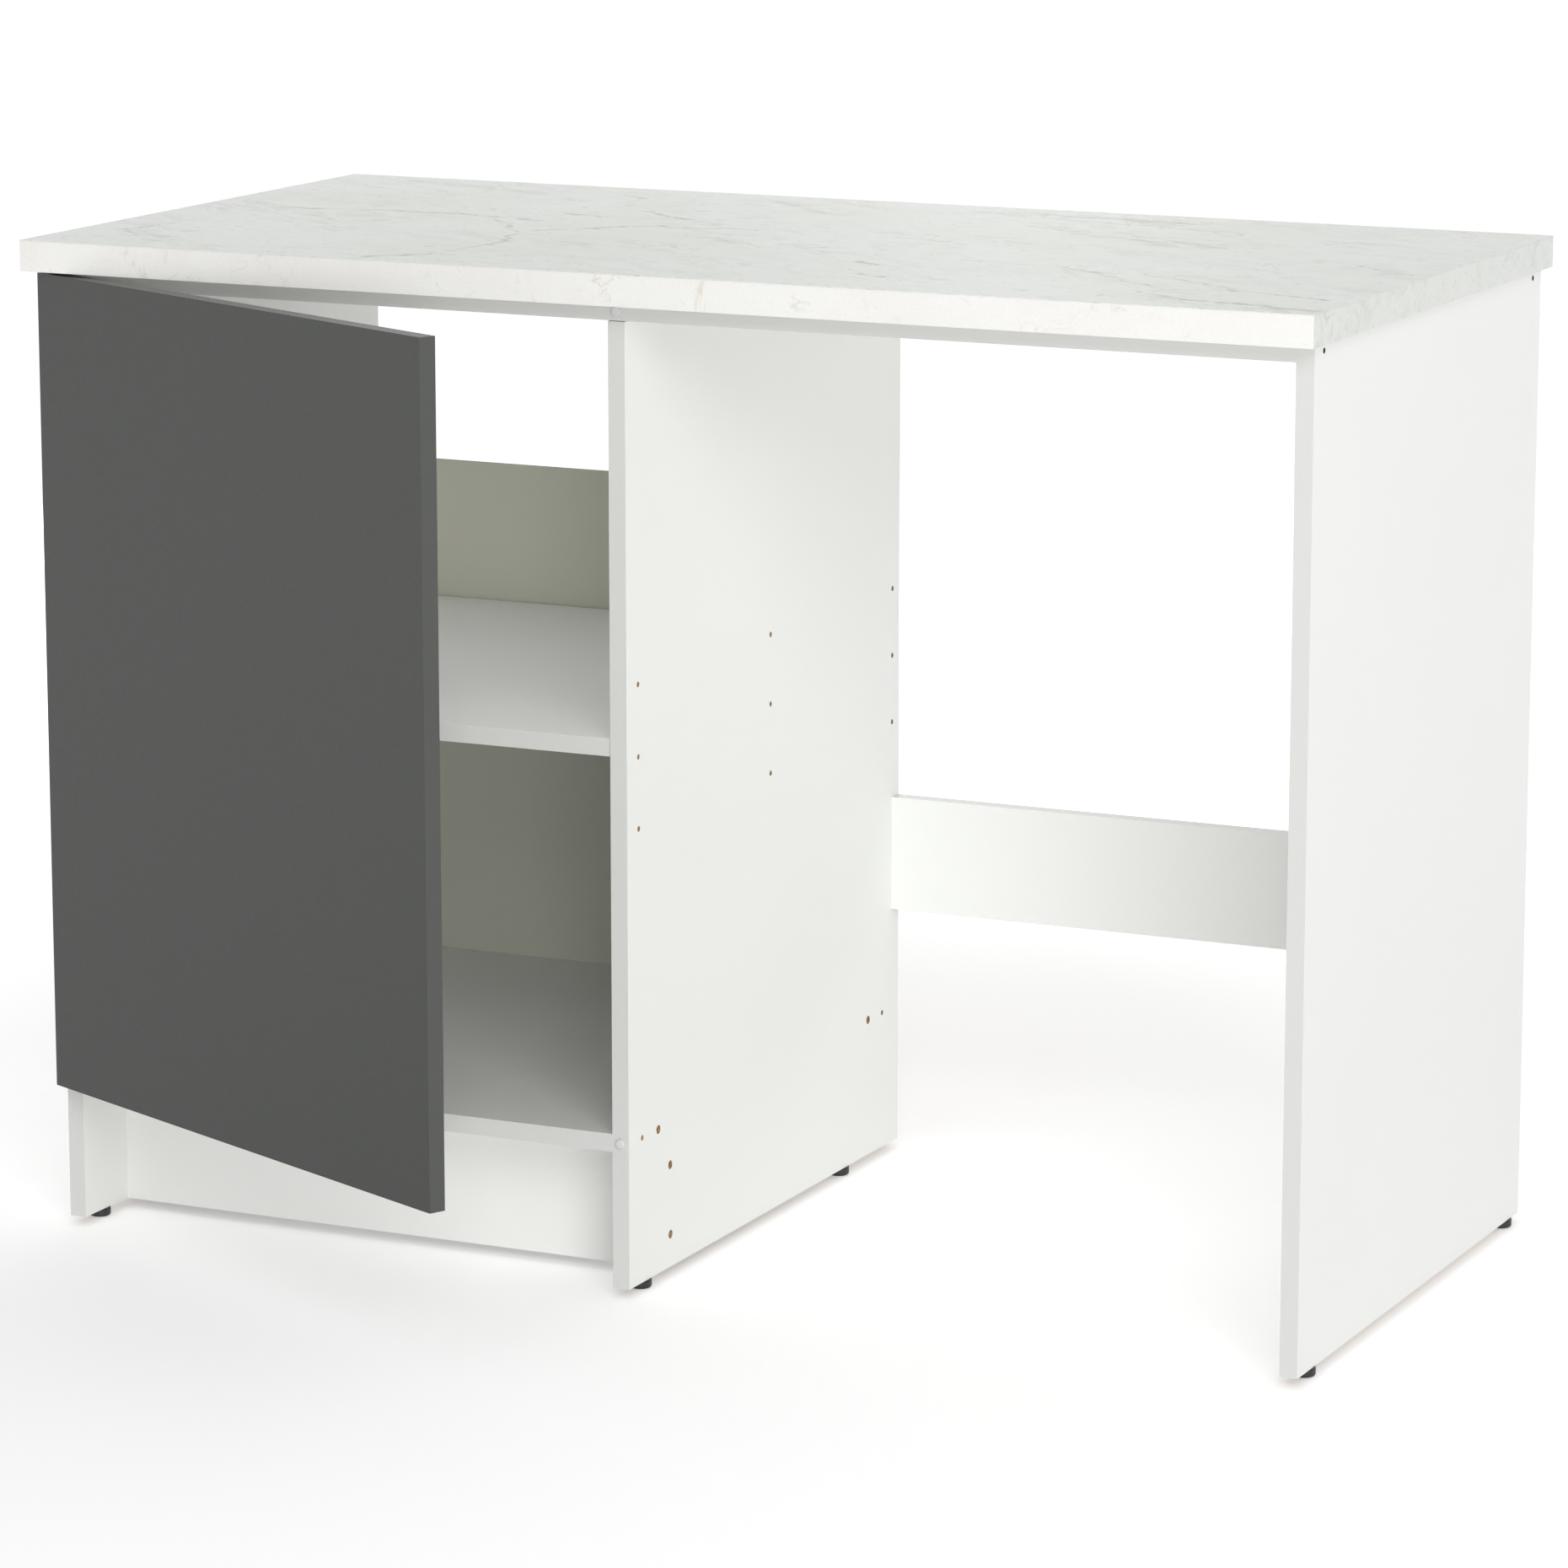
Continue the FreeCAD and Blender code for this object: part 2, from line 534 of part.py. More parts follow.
# Boards of the carcass, cut for all that goes into them.
boards = {
    "left_side_panel": ((LEFT_OUT, FRONT, "foot_height"), (LEFT_IN, REAR, UNDER_TOP)),
    "middle_side_panel": ((MID_LEFT, FRONT, "foot_height"), (MID_RIGHT, REAR, UNDER_RAIL)),
    "right_end_panel": ((RIGHT_IN, FRONT, "foot_height"), (RIGHT_OUT, REAR, UNDER_TOP)),
    "bottom_panel": ((LEFT_IN, FRONT, BOTTOM_LOW), (MID_LEFT, REAR, BOTTOM_HIGH)),
    "plinth": (
        (LEFT_IN, f"{FRONT} + plinth_setback", "foot_height"),
        (MID_LEFT, f"{FRONT} + plinth_setback + board_thick", BOTTOM_LOW),
    ),
    "stretcher": (
        (MID_RIGHT, f"{REAR} - board_thick", "stretcher_bottom"),
        (RIGHT_IN, REAR, "stretcher_bottom + stretcher_height"),
    ),
    "front_rail": ((LEFT_IN, FRONT, UNDER_RAIL), (RIGHT_IN, f"{FRONT} + rail_depth", UNDER_TOP)),
    "rear_rail": ((LEFT_IN, f"{REAR} - rail_depth", UNDER_RAIL), (RIGHT_IN, REAR, UNDER_TOP)),
    "worktop_board": (
        (f"{TOP_LEFT} + edging_thick", f"{TOP_FRONT} + edging_thick", UNDER_TOP),
        (f"{TOP_RIGHT} - edging_thick", f"{TOP_FRONT} + worktop_depth", "total_height - laminate_thick"),
    ),
    "back_panel": (
        (f"{LEFT_OUT} + hardboard_margin", REAR, BOTTOM_LOW),
        (f"{MID_RIGHT} - hardboard_margin", f"{REAR} + hardboard_thick", "hardboard_top"),
    ),
}
for name, (low, high) in boards.items():
    piece(name, cut(box(low, high), holes[name]))

piece("shelf", box(
    (f"{LEFT_IN} + shelf_end_gap", f"{FRONT} + shelf_front_gap", SHELF_LOW),
    (f"{MID_LEFT} - shelf_end_gap", f"{REAR} - shelf_rear_gap", f"{SHELF_LOW} + board_thick"),
))

# Worktop skins: a laminate sheet on top, edging on the front and both ends.
TOP_BACK = f"({TOP_FRONT} + worktop_depth)"
SKIN_LOW = "(total_height - laminate_thick)"
piece("worktop_laminate", box((TOP_LEFT, TOP_FRONT, SKIN_LOW), (TOP_RIGHT, TOP_BACK, "total_height")))
piece("worktop_front_edging", box(
    (TOP_LEFT, TOP_FRONT, UNDER_TOP),
    (TOP_RIGHT, f"{TOP_FRONT} + edging_thick", SKIN_LOW),
))
piece("worktop_left_edging", box(
    (TOP_LEFT, f"{TOP_FRONT} + edging_thick", UNDER_TOP),
    (f"{TOP_LEFT} + edging_thick", TOP_BACK, SKIN_LOW),
))
piece("worktop_right_edging", box(
    (f"{TOP_RIGHT} - edging_thick", f"{TOP_FRONT} + edging_thick", UNDER_TOP),
    (TOP_RIGHT, TOP_BACK, SKIN_LOW),
))

piece("bottom_panel_dowels", group(dowels["bottom"]))
piece("plinth_dowels", group(dowels["plinth"]))
piece("stretcher_dowels", group(dowels["stretcher"]))
piece("rail_dowels", group(dowels["rail"]))
piece("cam_bolts", group(cam_bolts))
piece("cam_nuts", group(cam_nuts))
piece("rail_screws", group(rail_screws))
piece("middle_panel_screws", group(post_screws))
piece("worktop_screws", group(top_screws))
piece("shelf_pins", group(shelf_pins))
piece("back_panel_nails", group(nails))

doc.recompute()
for thing in doc.Objects:
    if "Invalid" in thing.State or "Error" in thing.State:
        raise RuntimeError(f"{thing.Label} failed: {thing.State}")
for thing in pieces:
    if thing.Shape.isNull() or not thing.Shape.isValid():
        raise RuntimeError(f"{thing.Label} has no valid shape")

os.makedirs("parts", exist_ok=True)
for thing in pieces:
    thing.Shape.exportStep(f"parts/{thing.Label}.step")
print(len(pieces), "pieces,", sum(len(thing.Shape.Solids) for thing in pieces), "solids")
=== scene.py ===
import math

import bmesh
import bpy
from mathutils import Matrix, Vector


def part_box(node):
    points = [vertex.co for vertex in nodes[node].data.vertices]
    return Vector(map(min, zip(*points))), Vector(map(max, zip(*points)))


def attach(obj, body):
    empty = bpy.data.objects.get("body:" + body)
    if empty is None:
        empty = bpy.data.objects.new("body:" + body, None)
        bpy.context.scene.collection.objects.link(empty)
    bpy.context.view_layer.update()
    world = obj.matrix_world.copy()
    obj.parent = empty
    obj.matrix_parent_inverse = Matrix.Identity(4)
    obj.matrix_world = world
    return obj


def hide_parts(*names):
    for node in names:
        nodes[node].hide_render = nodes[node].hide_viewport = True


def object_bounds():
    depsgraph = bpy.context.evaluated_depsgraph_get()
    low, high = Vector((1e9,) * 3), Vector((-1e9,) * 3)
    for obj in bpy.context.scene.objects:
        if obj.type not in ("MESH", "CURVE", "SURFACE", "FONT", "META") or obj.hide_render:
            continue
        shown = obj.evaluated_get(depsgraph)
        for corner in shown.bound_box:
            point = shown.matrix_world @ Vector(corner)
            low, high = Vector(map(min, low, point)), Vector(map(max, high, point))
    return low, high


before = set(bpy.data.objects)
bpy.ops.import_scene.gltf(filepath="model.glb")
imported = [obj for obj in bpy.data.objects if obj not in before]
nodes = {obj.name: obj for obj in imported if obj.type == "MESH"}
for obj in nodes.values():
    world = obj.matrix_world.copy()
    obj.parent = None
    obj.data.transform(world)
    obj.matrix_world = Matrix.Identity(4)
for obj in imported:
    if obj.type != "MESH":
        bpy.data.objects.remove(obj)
cad_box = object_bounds()
scene = bpy.context.scene
MM = 0.001

# Upright panels: three chipboards wrapped in satin white foil, left raw at their top and bottom edges.
# They are sawn and drilled flat: their edges are barely eased, and every hole shows the brown board inside,
# except the outer panels' rail screw holes, whose walls above the rails get black steel as painted shade.
FOIL_WHITE = (0.865, 0.872, 0.848, 1)
BANDING_WHITE = (0.645, 0.65, 0.63, 1)
FOIL_ROUGHNESS = 0.5
FOIL_RELIEF = 0.1 * MM
CLOUD_SCALE = 5.0
GRAIN_SCALE = 900.0
PEEL_SCALE = 260.0
PEEL_GLOSS = 0.12


def add_node(tree, kind, inputs=None, **settings):
    """Add a node, with its settings, and give each named input a value or a link."""
    made = tree.nodes.new(kind)
    for key, value in settings.items():
        setattr(made, key, value)
    for key, value in (inputs or {}).items():
        if isinstance(value, bpy.types.NodeSocket):
            tree.links.new(value, made.inputs[key])
        else:
            made.inputs[key].default_value = value
    return made


def math_node(tree, operation, first, second=0.0, clamp=False):
    made = add_node(tree, "ShaderNodeMath", {0: first, 1: second}, operation=operation, use_clamp=clamp)
    return made.outputs[0]


def scaled(tree, vector, factor):
    return add_node(tree, "ShaderNodeVectorMath", {0: vector, "Scale": factor}, operation="SCALE").outputs[0]


def mix_colors(tree, factor, first, second):
    mixer = add_node(tree, "ShaderNodeMix", {0: factor, 6: first, 7: second}, data_type="RGBA")
    return mixer.outputs[2]


def mix_values(tree, first, share, second):
    """Two values added up, the first by its share and the second by the rest."""
    first_part = math_node(tree, "MULTIPLY", first, share)
    second_part = math_node(tree, "MULTIPLY", second, 1.0 - share)
    return math_node(tree, "ADD", first_part, second_part)


def object_place(tree):
    return tree.nodes.new("ShaderNodeTexCoord").outputs["Object"]


def noise(tree, vector, scale, detail, roughness=0.5, distortion=0.0):
    return add_node(tree, "ShaderNodeTexNoise", {
        "Vector": vector, "Scale": scale, "Detail": detail, "Roughness": roughness, "Distortion": distortion,
    }).outputs[0]


def swing(tree, value, amount):
    """How far a noise strays from its middle value, times an amount."""
    return math_node(tree, "MULTIPLY", math_node(tree, "SUBTRACT", value, 0.5), amount)


def node_group(name, inputs, outputs):
    """An empty shader group with named sockets, and its input and output nodes."""
    group = bpy.data.node_groups.new(name, "ShaderNodeTree")
    for socket, kind, value in inputs:
        made = group.interface.new_socket(socket, in_out="INPUT", socket_type=kind)
        if value is not None:
            made.default_value = value
    for socket, kind in outputs:
        group.interface.new_socket(socket, in_out="OUTPUT", socket_type=kind)
    return group, group.nodes.new("NodeGroupInput").outputs, group.nodes.new("NodeGroupOutput").inputs


def make_foil_skin():
    """Printed foil: a faint cloudiness, a fine dot grain and a slightly uneven gloss."""
    group, given, result = node_group(
        "foil_skin",
        [
            ("Color", "NodeSocketColor", None),
            ("Cloudiness", "NodeSocketFloat", 0.03),
            ("Grain", "NodeSocketFloat", 0.03),
            ("Roughness", "NodeSocketFloat", 0.4),
        ],
        [("Color", "NodeSocketColor"), ("Roughness", "NodeSocketFloat"), ("Height", "NodeSocketFloat")],
    )
    place = object_place(group)
    cloud = swing(group, noise(group, place, CLOUD_SCALE, detail=4.0), given["Cloudiness"])
    grain = noise(group, place, GRAIN_SCALE, detail=2.0)
    peel = noise(group, place, PEEL_SCALE, detail=2.0)
    level = math_node(group, "ADD", cloud, swing(group, grain, given["Grain"]))
    level = math_node(group, "ADD", level, 1.0)
    group.links.new(scaled(group, given["Color"], level), result["Color"])
    gloss = math_node(group, "ADD", swing(group, peel, PEEL_GLOSS), given["Roughness"])
    group.links.new(gloss, result["Roughness"])
    group.links.new(math_node(group, "ADD", peel, grain), result["Height"])
    return group


foil_skin = make_foil_skin()


def new_material(name):
    material = bpy.data.materials.new(name)
    material.use_nodes = True
    tree = material.node_tree
    return material, tree, tree.nodes["Principled BSDF"]


def bump(tree, shader, height, strength, distance):
    made = add_node(tree, "ShaderNodeBump", {"Height": height, "Strength": strength, "Distance": distance})
    tree.links.new(made.outputs[0], shader.inputs["Normal"])


def foil_material(name, color, roughness, cloudiness, grain, relief):
    material, tree, shader = new_material(name)
    values = {"Color": color, "Cloudiness": cloudiness, "Grain": grain, "Roughness": roughness}
    skin = add_node(tree, "ShaderNodeGroup", values, node_tree=foil_skin)
    tree.links.new(skin.outputs["Color"], shader.inputs["Base Color"])
    tree.links.new(skin.outputs["Roughness"], shader.inputs["Roughness"])
    bump(tree, shader, skin.outputs["Height"], relief, FOIL_RELIEF)
    return material


CHIP_DARK = (0.17, 0.09, 0.035, 1)
CHIP_PALE = (0.55, 0.37, 0.19, 1)
CHIP_ROUGHNESS = 0.85
CHIP_RELIEF = 0.3 * MM
FLAKE_SCALE = 650.0
FLAKE_SHARE = 0.7
FIBRE_SCALE = 1400.0


def make_chipboard():
    """Raw chipboard: pressed flakes of pale and dark wood with small gaps between them."""
    material, tree, shader = new_material("chipboard")
    place = object_place(tree)
    flakes = add_node(tree, "ShaderNodeTexVoronoi", {"Vector": place, "Scale": FLAKE_SCALE})
    fibre = noise(tree, place, FIBRE_SCALE, detail=4.0)
    shade = add_node(tree, "ShaderNodeSeparateColor", {0: flakes.outputs["Color"]}).outputs[0]
    shade = mix_values(tree, shade, FLAKE_SHARE, fibre)
    tree.links.new(mix_colors(tree, shade, CHIP_DARK, CHIP_PALE), shader.inputs["Base Color"])
    shader.inputs["Roughness"].default_value = CHIP_ROUGHNESS
    height = math_node(tree, "ADD", flakes.outputs["Distance"], fibre)
    bump(tree, shader, height, strength=0.5, distance=CHIP_RELIEF)
    return material


white_foil = foil_material("white_foil", FOIL_WHITE, FOIL_ROUGHNESS, cloudiness=0.02, grain=0.03, relief=0.12)
edge_banding = foil_material(
    "edge_banding", BANDING_WHITE, FOIL_ROUGHNESS, cloudiness=0.03, grain=0.05, relief=0.2,
)
chipboard = make_chipboard()

BOARD_EASE = 0.5 * MM
JOINT_GAP = 0.6 * MM
DRILLED_DEPTH = 0.3 * MM
WELD = 0.001 * MM
FLAT_ANGLE = math.radians(1)
SHARP_ANGLE = math.radians(40)
DRILLED = 1
FIRST_SIDE = 2
SAME_WAY = 0.9
SIDES = {
    "-x": Vector((-1, 0, 0)),
    "+x": Vector((1, 0, 0)),
    "-y": Vector((0, -1, 0)),
    "+y": Vector((0, 1, 0)),
    "-z": Vector((0, 0, -1)),
    "+z": Vector((0, 0, 1)),
}


def add_object(name, mesh):
    piece = bpy.data.objects.new(name, mesh)
    scene.collection.objects.link(piece)
    return piece


def settle(piece, body, slot, *replaced):
    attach(piece, body)
    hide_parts(*replaced)


def eased_copy(node, ease):
    """A bmesh copy of a CAD node's solid, its triangles joined to flat faces and its sharp edges eased."""
    work = bmesh.new()
    work.from_mesh(nodes[node].data)
    bmesh.ops.remove_doubles(work, verts=work.verts, dist=WELD)
    bmesh.ops.dissolve_limit(work, angle_limit=FLAT_ANGLE, verts=work.verts, edges=work.edges)
    sharp = [edge for edge in work.edges if edge.is_manifold and edge.calc_face_angle() > SHARP_ANGLE]
    bmesh.ops.bevel(
        work, geom=sharp, offset=ease, offset_type="OFFSET", segments=2, profile=0.5,
        affect="EDGES", clamp_overlap=True,
    )
    return work


def dress(node, body, slot, finish, ease=BOARD_EASE, inside=None, sides=None, top_gap=0.0):
    """Put an eased copy in a node's place: a finish, another inside its holes, and others on named sides.

    A top gap lowers the copy's upper end, which leaves an open joint above it.
    """
    work = eased_copy(node, ease)
    low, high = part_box(node)
    for corner in work.verts:
        if corner.co.z > high.z - 2 * ease:
            corner.co.z -= top_gap
    sides = sides or {}
    for face in work.faces:
        centre = face.calc_center_median()
        depth = min(min(centre - low), min(high - centre))
        if inside is not None and depth > DRILLED_DEPTH:
            face.material_index = DRILLED
            continue
        for index, side in enumerate(sides):
            if face.normal.dot(SIDES[side]) > SAME_WAY:
                face.material_index = FIRST_SIDE + index
    mesh = bpy.data.meshes.new(node + "_dressed")
    work.to_mesh(mesh)
    work.free()
    for material in (finish, inside or finish, *sides.values()):
        mesh.materials.append(material)
    piece = add_object(node + "_dressed", mesh)
    settle(piece, body, slot, node)
    return piece


panels = {}
for panel in ("left_side_panel", "middle_side_panel", "right_end_panel"):
    panels[panel] = dress(
        panel, "carcass", "white_foil", white_foil, inside=chipboard,
        sides={"-y": edge_banding, "+y": edge_banding, "-z": chipboard, "+z": chipboard},
        top_gap=JOINT_GAP if panel == "middle_side_panel" else 0.0,
    )

# Bottom panel, plinth, rails and stretcher: the same foil-wrapped board, cut to length and held between the
# panels by dowels, cam fittings and screws. Their ends meet the panels, so only their long edges are seen.
for board in ("bottom_panel", "front_rail", "rear_rail"):
    banded = {"-y": edge_banding, "+y": edge_banding, "-x": chipboard, "+x": chipboard}
    dress(board, "carcass", "white_foil", white_foil, inside=chipboard, sides=banded)
for board in ("plinth", "stretcher"):
    banded = {"-z": edge_banding, "+z": edge_banding, "-x": chipboard, "+x": chipboard}
    dress(board, "carcass", "white_foil", white_foil, inside=chipboard, sides=banded)

# Back: thin hardboard nailed to the cupboard's rear, painted pale on the side that faces in.
# Its edges and its rear are bare, brown pressed fibre.
PAINTED_SIDE = (0.62, 0.625, 0.535, 1)
HARDBOARD_DARK = (0.2, 0.115, 0.055, 1)
HARDBOARD_PALE = (0.33, 0.2, 0.105, 1)
HARDBOARD_ROUGHNESS = 0.8
HARDBOARD_RELIEF = 0.2 * MM
HARDBOARD_EASE = 0.2 * MM
FELT_SCALE = 420.0
FELT_SHARE = 0.6
BLOTCH_SCALE = 14.0


def make_bare_hardboard():
    material, tree, shader = new_material("bare_hardboard")
    place = object_place(tree)
    felt = noise(tree, place, FELT_SCALE, detail=8.0)
    blotch = noise(tree, place, BLOTCH_SCALE, detail=4.0)
    shade = mix_values(tree, felt, FELT_SHARE, blotch)
    tree.links.new(mix_colors(tree, shade, HARDBOARD_DARK, HARDBOARD_PALE), shader.inputs["Base Color"])
    shader.inputs["Roughness"].default_value = HARDBOARD_ROUGHNESS
    bump(tree, shader, felt, strength=0.3, distance=HARDBOARD_RELIEF)
    return material


bare_hardboard = make_bare_hardboard()
painted_hardboard = foil_material(
    "painted_hardboard", PAINTED_SIDE, FOIL_ROUGHNESS, cloudiness=0.05, grain=0.05, relief=0.2,
)
dress(
    "back_panel", "carcass", "hardboard", painted_hardboard, ease=HARDBOARD_EASE,
    sides={side: bare_hardboard for side in ("+y", "+z", "-z", "-x", "+x")},
)

# Worktop: a chipboard board under a printed stone laminate, with edging strips of a like print and a pale
# backing sheet glued below to keep it flat. The stone is pale grey with cool and olive clouds, mottled along
# a slant and crossed by a few thin broken veins that darken to brown where they meet.
STONE_COOL = (0.755, 0.776, 0.75, 1)
STONE_OLIVE = (0.72, 0.747, 0.682, 1)
STONE_MOTTLE = (0.47, 0.49, 0.447, 1)
VEIN_GREY = (0.34, 0.36, 0.315, 1)
VEIN_BROWN = (0.40, 0.375, 0.27, 1)
BACKING_PALE = (0.80, 0.80, 0.775, 1)
ENDS_COOL = (0.735, 0.75, 0.725, 1)
ENDS_OLIVE = (0.715, 0.725, 0.67, 1)
EDGING_PALE = (0.81, 0.805, 0.783, 1)
EDGING_WARM = (0.785, 0.77, 0.733, 1)
EDGING_VEIN = (0.57, 0.515, 0.39, 1)
TOP_OFFSET = (0.35, 0.2, 0.0)
ENDS_OFFSET = (2.4, 0.7, 0.3)
FRONT_OFFSET = (3.1, 1.7, 0.6)
SLANT = math.radians(28)
STREAK_WIDTH = 0.42
STIR_SCALE = 26.0
STIR_REACH = 45 * MM
VEIN_DEPTH = 1.35
PATCH_DEPTH = 2.0
OTHER_PATCHES = 0.6
MOTTLE_DEPTH = 0.95
STREAK_DEPTH = 0.78
FINE_VEIN_DEPTH = 0.5
EDGING_VEIN_DEPTH = 0.55
VEIN_BREAK_SCALE = 2.3
VEIN_BREAK_GAIN = 6.0
SPECK_SCALE = 700.0
SPECK_DEPTH = 0.14
STONE_ROUGHNESS = 0.45
STONE_GLOSS_SPREAD = 0.1
STONE_RELIEF = 0.1 * MM
LAMINATE_EASE = 0.3 * MM
CORE_EASE = 0.2 * MM

# Each cloudy pattern: the noise's scale, detail, roughness and distortion, the level above which it shows,
# and how fast it grows there.
STONE_CLOUDS = {
    "tone": ((4.5, 5.0, 0.55, 0.4), 0.38, 4.0),
    "patches": ((5.0, 3.0, 0.5, 0.5), 0.38, 3.5),
    "mottle": ((22.0, 9.0, 0.68, 0.9), 0.47, 3.6),
    "streaks": ((41.0, 6.0, 0.6, 1.6), 0.58, 6.0),
    "knots": ((9.0, 2.0, 0.5, 0.0), 0.55, 5.0),
    "vein breaks": ((55.0, 4.0, 0.5, 0.0), 0.3, 3.0),
    "edging tone": ((7.0, 6.0, 0.6, 0.6), 0.42, 3.0),
}
FINE_VEINS = {"scale": 6.0, "warp": 1.1, "width": 0.008, "gaps": 0.48}
LONG_VEINS = {"scale": 2.6, "warp": 1.4, "width": 0.006, "gaps": 0.48}
EDGING_LINES = {"scale": 8.0, "warp": 1.6, "width": 0.012, "gaps": 0.5}
EDGING_THREADS = {"scale": 19.0, "warp": 1.2, "width": 0.02, "gaps": 0.56}

# Each vein: ends in millimetres from the worktop's rear left corner, half width, and strength.
TOP_VEINS = (
    (340, 592, 376, 545, 6, 0.8), (376, 545, 396, 470, 4, 0.5), (396, 470, 378, 385, 5, 0.8),
    (378, 385, 345, 335, 4, 0.6), (345, 335, 305, 285, 4, 0.5), (80, 284, 160, 272, 6, 0.5),
    (160, 272, 250, 264, 7, 0.7), (250, 264, 345, 276, 6, 0.8), (385, 350, 412, 328, 5, 0.6),
    (412, 328, 440, 287, 6, 0.8), (440, 287, 472, 273, 6, 0.9), (472, 273, 560, 267, 5, 0.7),
    (345, 214, 392, 229, 5, 0.7), (398, 166, 470, 216, 5, 0.7), (685, 260, 750, 273, 4, 0.6),
    (788, 120, 812, 134, 5, 0.9), (715, 40, 910, 54, 6, 0.5), (690, 42, 800, 78, 6, 0.35),
    (780, 68, 935, 98, 6, 0.35), (880, 190, 990, 212, 5, 0.6), (920, 178, 940, 196, 5, 0.8),
    (915, 400, 1042, 502, 4, 0.55), (1000, 420, 1112, 488, 4, 0.5), (1100, 486, 1196, 520, 5, 0.85),
    (1035, 535, 1088, 565, 5, 0.6), (1090, 562, 1210, 586, 8, 0.8), (738, 434, 768, 456, 5, 0.8),
    (770, 513, 802, 527, 5, 0.7), (60, 428, 42, 500, 4, 0.55), (42, 500, 76, 530, 4, 0.5),
    (76, 530, 118, 528, 4, 0.45), (480, 52, 506, 72, 8, 0.6), (1140, 290, 1204, 327, 4, 0.6),
    (1060, 136, 1106, 125, 3, 0.4), (328, 58, 356, 88, 4, 0.5), (520, 335, 556, 345, 4, 0.5),
)

# Mottled patches, in the same measures: broad and soft.
TOP_PATCHES = (
    (800, 115, 960, 205, 60, 1.0), (770, 240, 960, 290, 40, 0.5), (575, 325, 700, 390, 45, 0.9),
    (30, 300, 215, 345, 50, 0.7), (140, 350, 205, 420, 35, 0.7), (10, 400, 110, 560, 50, 0.6),
    (940, 405, 1060, 500, 40, 0.6), (690, 35, 910, 60, 35, 0.8), (470, 55, 560, 120, 40, 0.6),
    (385, 160, 470, 210, 30, 0.5), (1110, 285, 1205, 330, 40, 0.7), (430, 440, 560, 450, 40, 0.6),
    (1080, 550, 1210, 590, 40, 0.8), (100, 40, 240, 80, 40, 0.6), (600, 470, 720, 520, 50, 0.4),
    (0, 250, 80, 290, 40, 0.6),
)


def vector_node(tree, operation, first, second, output=0):
    made = add_node(tree, "ShaderNodeVectorMath", {0: first, 1: second}, operation=operation)
    return made.outputs[output]


def make_vein_stroke():
    """How near a point is to the line between two ends: one at the line, nothing beyond its half width."""
    group, given, result = node_group(
        "vein_stroke",
        [
            ("Vector", "NodeSocketVector", None),
            ("Start", "NodeSocketVector", None),
            ("End", "NodeSocketVector", None),
            ("Half Width", "NodeSocketFloat", 0.003),
        ],
        [("Mask", "NodeSocketFloat")],
    )
    offset = vector_node(group, "SUBTRACT", given["Vector"], given["Start"])
    along = vector_node(group, "SUBTRACT", given["End"], given["Start"])
    reach = vector_node(group, "DOT_PRODUCT", offset, along, "Value")
    span = vector_node(group, "DOT_PRODUCT", along, along, "Value")
    share = math_node(group, "DIVIDE", reach, span, clamp=True)
    away = vector_node(group, "DISTANCE", offset, scaled(group, along, share), "Value")
    ratio = math_node(group, "DIVIDE", away, given["Half Width"])
    group.links.new(math_node(group, "SUBTRACT", 1.0, ratio, clamp=True), result["Mask"])
    return group


def make_stone_vein():
    """A thin line where a warped noise crosses its middle value, broken up by a second noise."""
    group, given, result = node_group(
        "stone_vein",
        [
            ("Vector", "NodeSocketVector", None),
            ("Scale", "NodeSocketFloat", 3.0),
            ("Warp", "NodeSocketFloat", 1.0),
            ("Width", "NodeSocketFloat", 0.02),
            ("Gaps", "NodeSocketFloat", 0.5),
        ],
        [("Mask", "NodeSocketFloat")],
    )
    field = noise(
        group, given["Vector"], given["Scale"], detail=6.0, roughness=0.55, distortion=given["Warp"],
    )
    away = math_node(group, "ABSOLUTE", math_node(group, "SUBTRACT", field, 0.5))
    line = math_node(group, "SUBTRACT", 1.0, math_node(group, "DIVIDE", away, given["Width"]), clamp=True)
    break_scale = math_node(group, "MULTIPLY", given["Scale"], VEIN_BREAK_SCALE)
    breaks = noise(group, given["Vector"], break_scale, detail=3.0)
    shown = math_node(group, "SUBTRACT", breaks, given["Gaps"])
    shown = math_node(group, "MULTIPLY", shown, VEIN_BREAK_GAIN, clamp=True)
    group.links.new(math_node(group, "MULTIPLY", line, shown), result["Mask"])
    return group


vein_stroke = make_vein_stroke()
stone_vein = make_stone_vein()


def add_group(tree, group, vector, **values):
    """Place one of the vein groups; a value's name has underscores where the socket's has spaces."""
    made = add_node(tree, "ShaderNodeGroup", {"Vector": vector}, node_tree=group)
    for key, value in values.items():
        made.inputs[key.replace("_", " ").title()].default_value = value
    return made.outputs["Mask"]


def cloudy(tree, vector, pattern):
    """One of the stone's cloudy patterns, as a mask."""
    shape, level, gain = STONE_CLOUDS[pattern]
    shown = math_node(tree, "SUBTRACT", noise(tree, vector, *shape), level)
    return math_node(tree, "MULTIPLY", shown, gain, clamp=True)


def wander(tree, place):
    """Places on the worktop seen from above, as they are and stirred so that a straight stroke wanders."""
    flat = vector_node(tree, "MULTIPLY", place, (1, 1, 0))
    stir = add_node(tree, "ShaderNodeTexNoise", {
        "Vector": flat, "Scale": STIR_SCALE, "Detail": 5.0, "Roughness": 0.65,
    }).outputs["Color"]
    stir = vector_node(tree, "SUBTRACT", stir, (0.5, 0.5, 0.5))
    stir = vector_node(tree, "MULTIPLY", stir, (STIR_REACH, STIR_REACH, 0))
    return flat, vector_node(tree, "ADD", flat, stir)


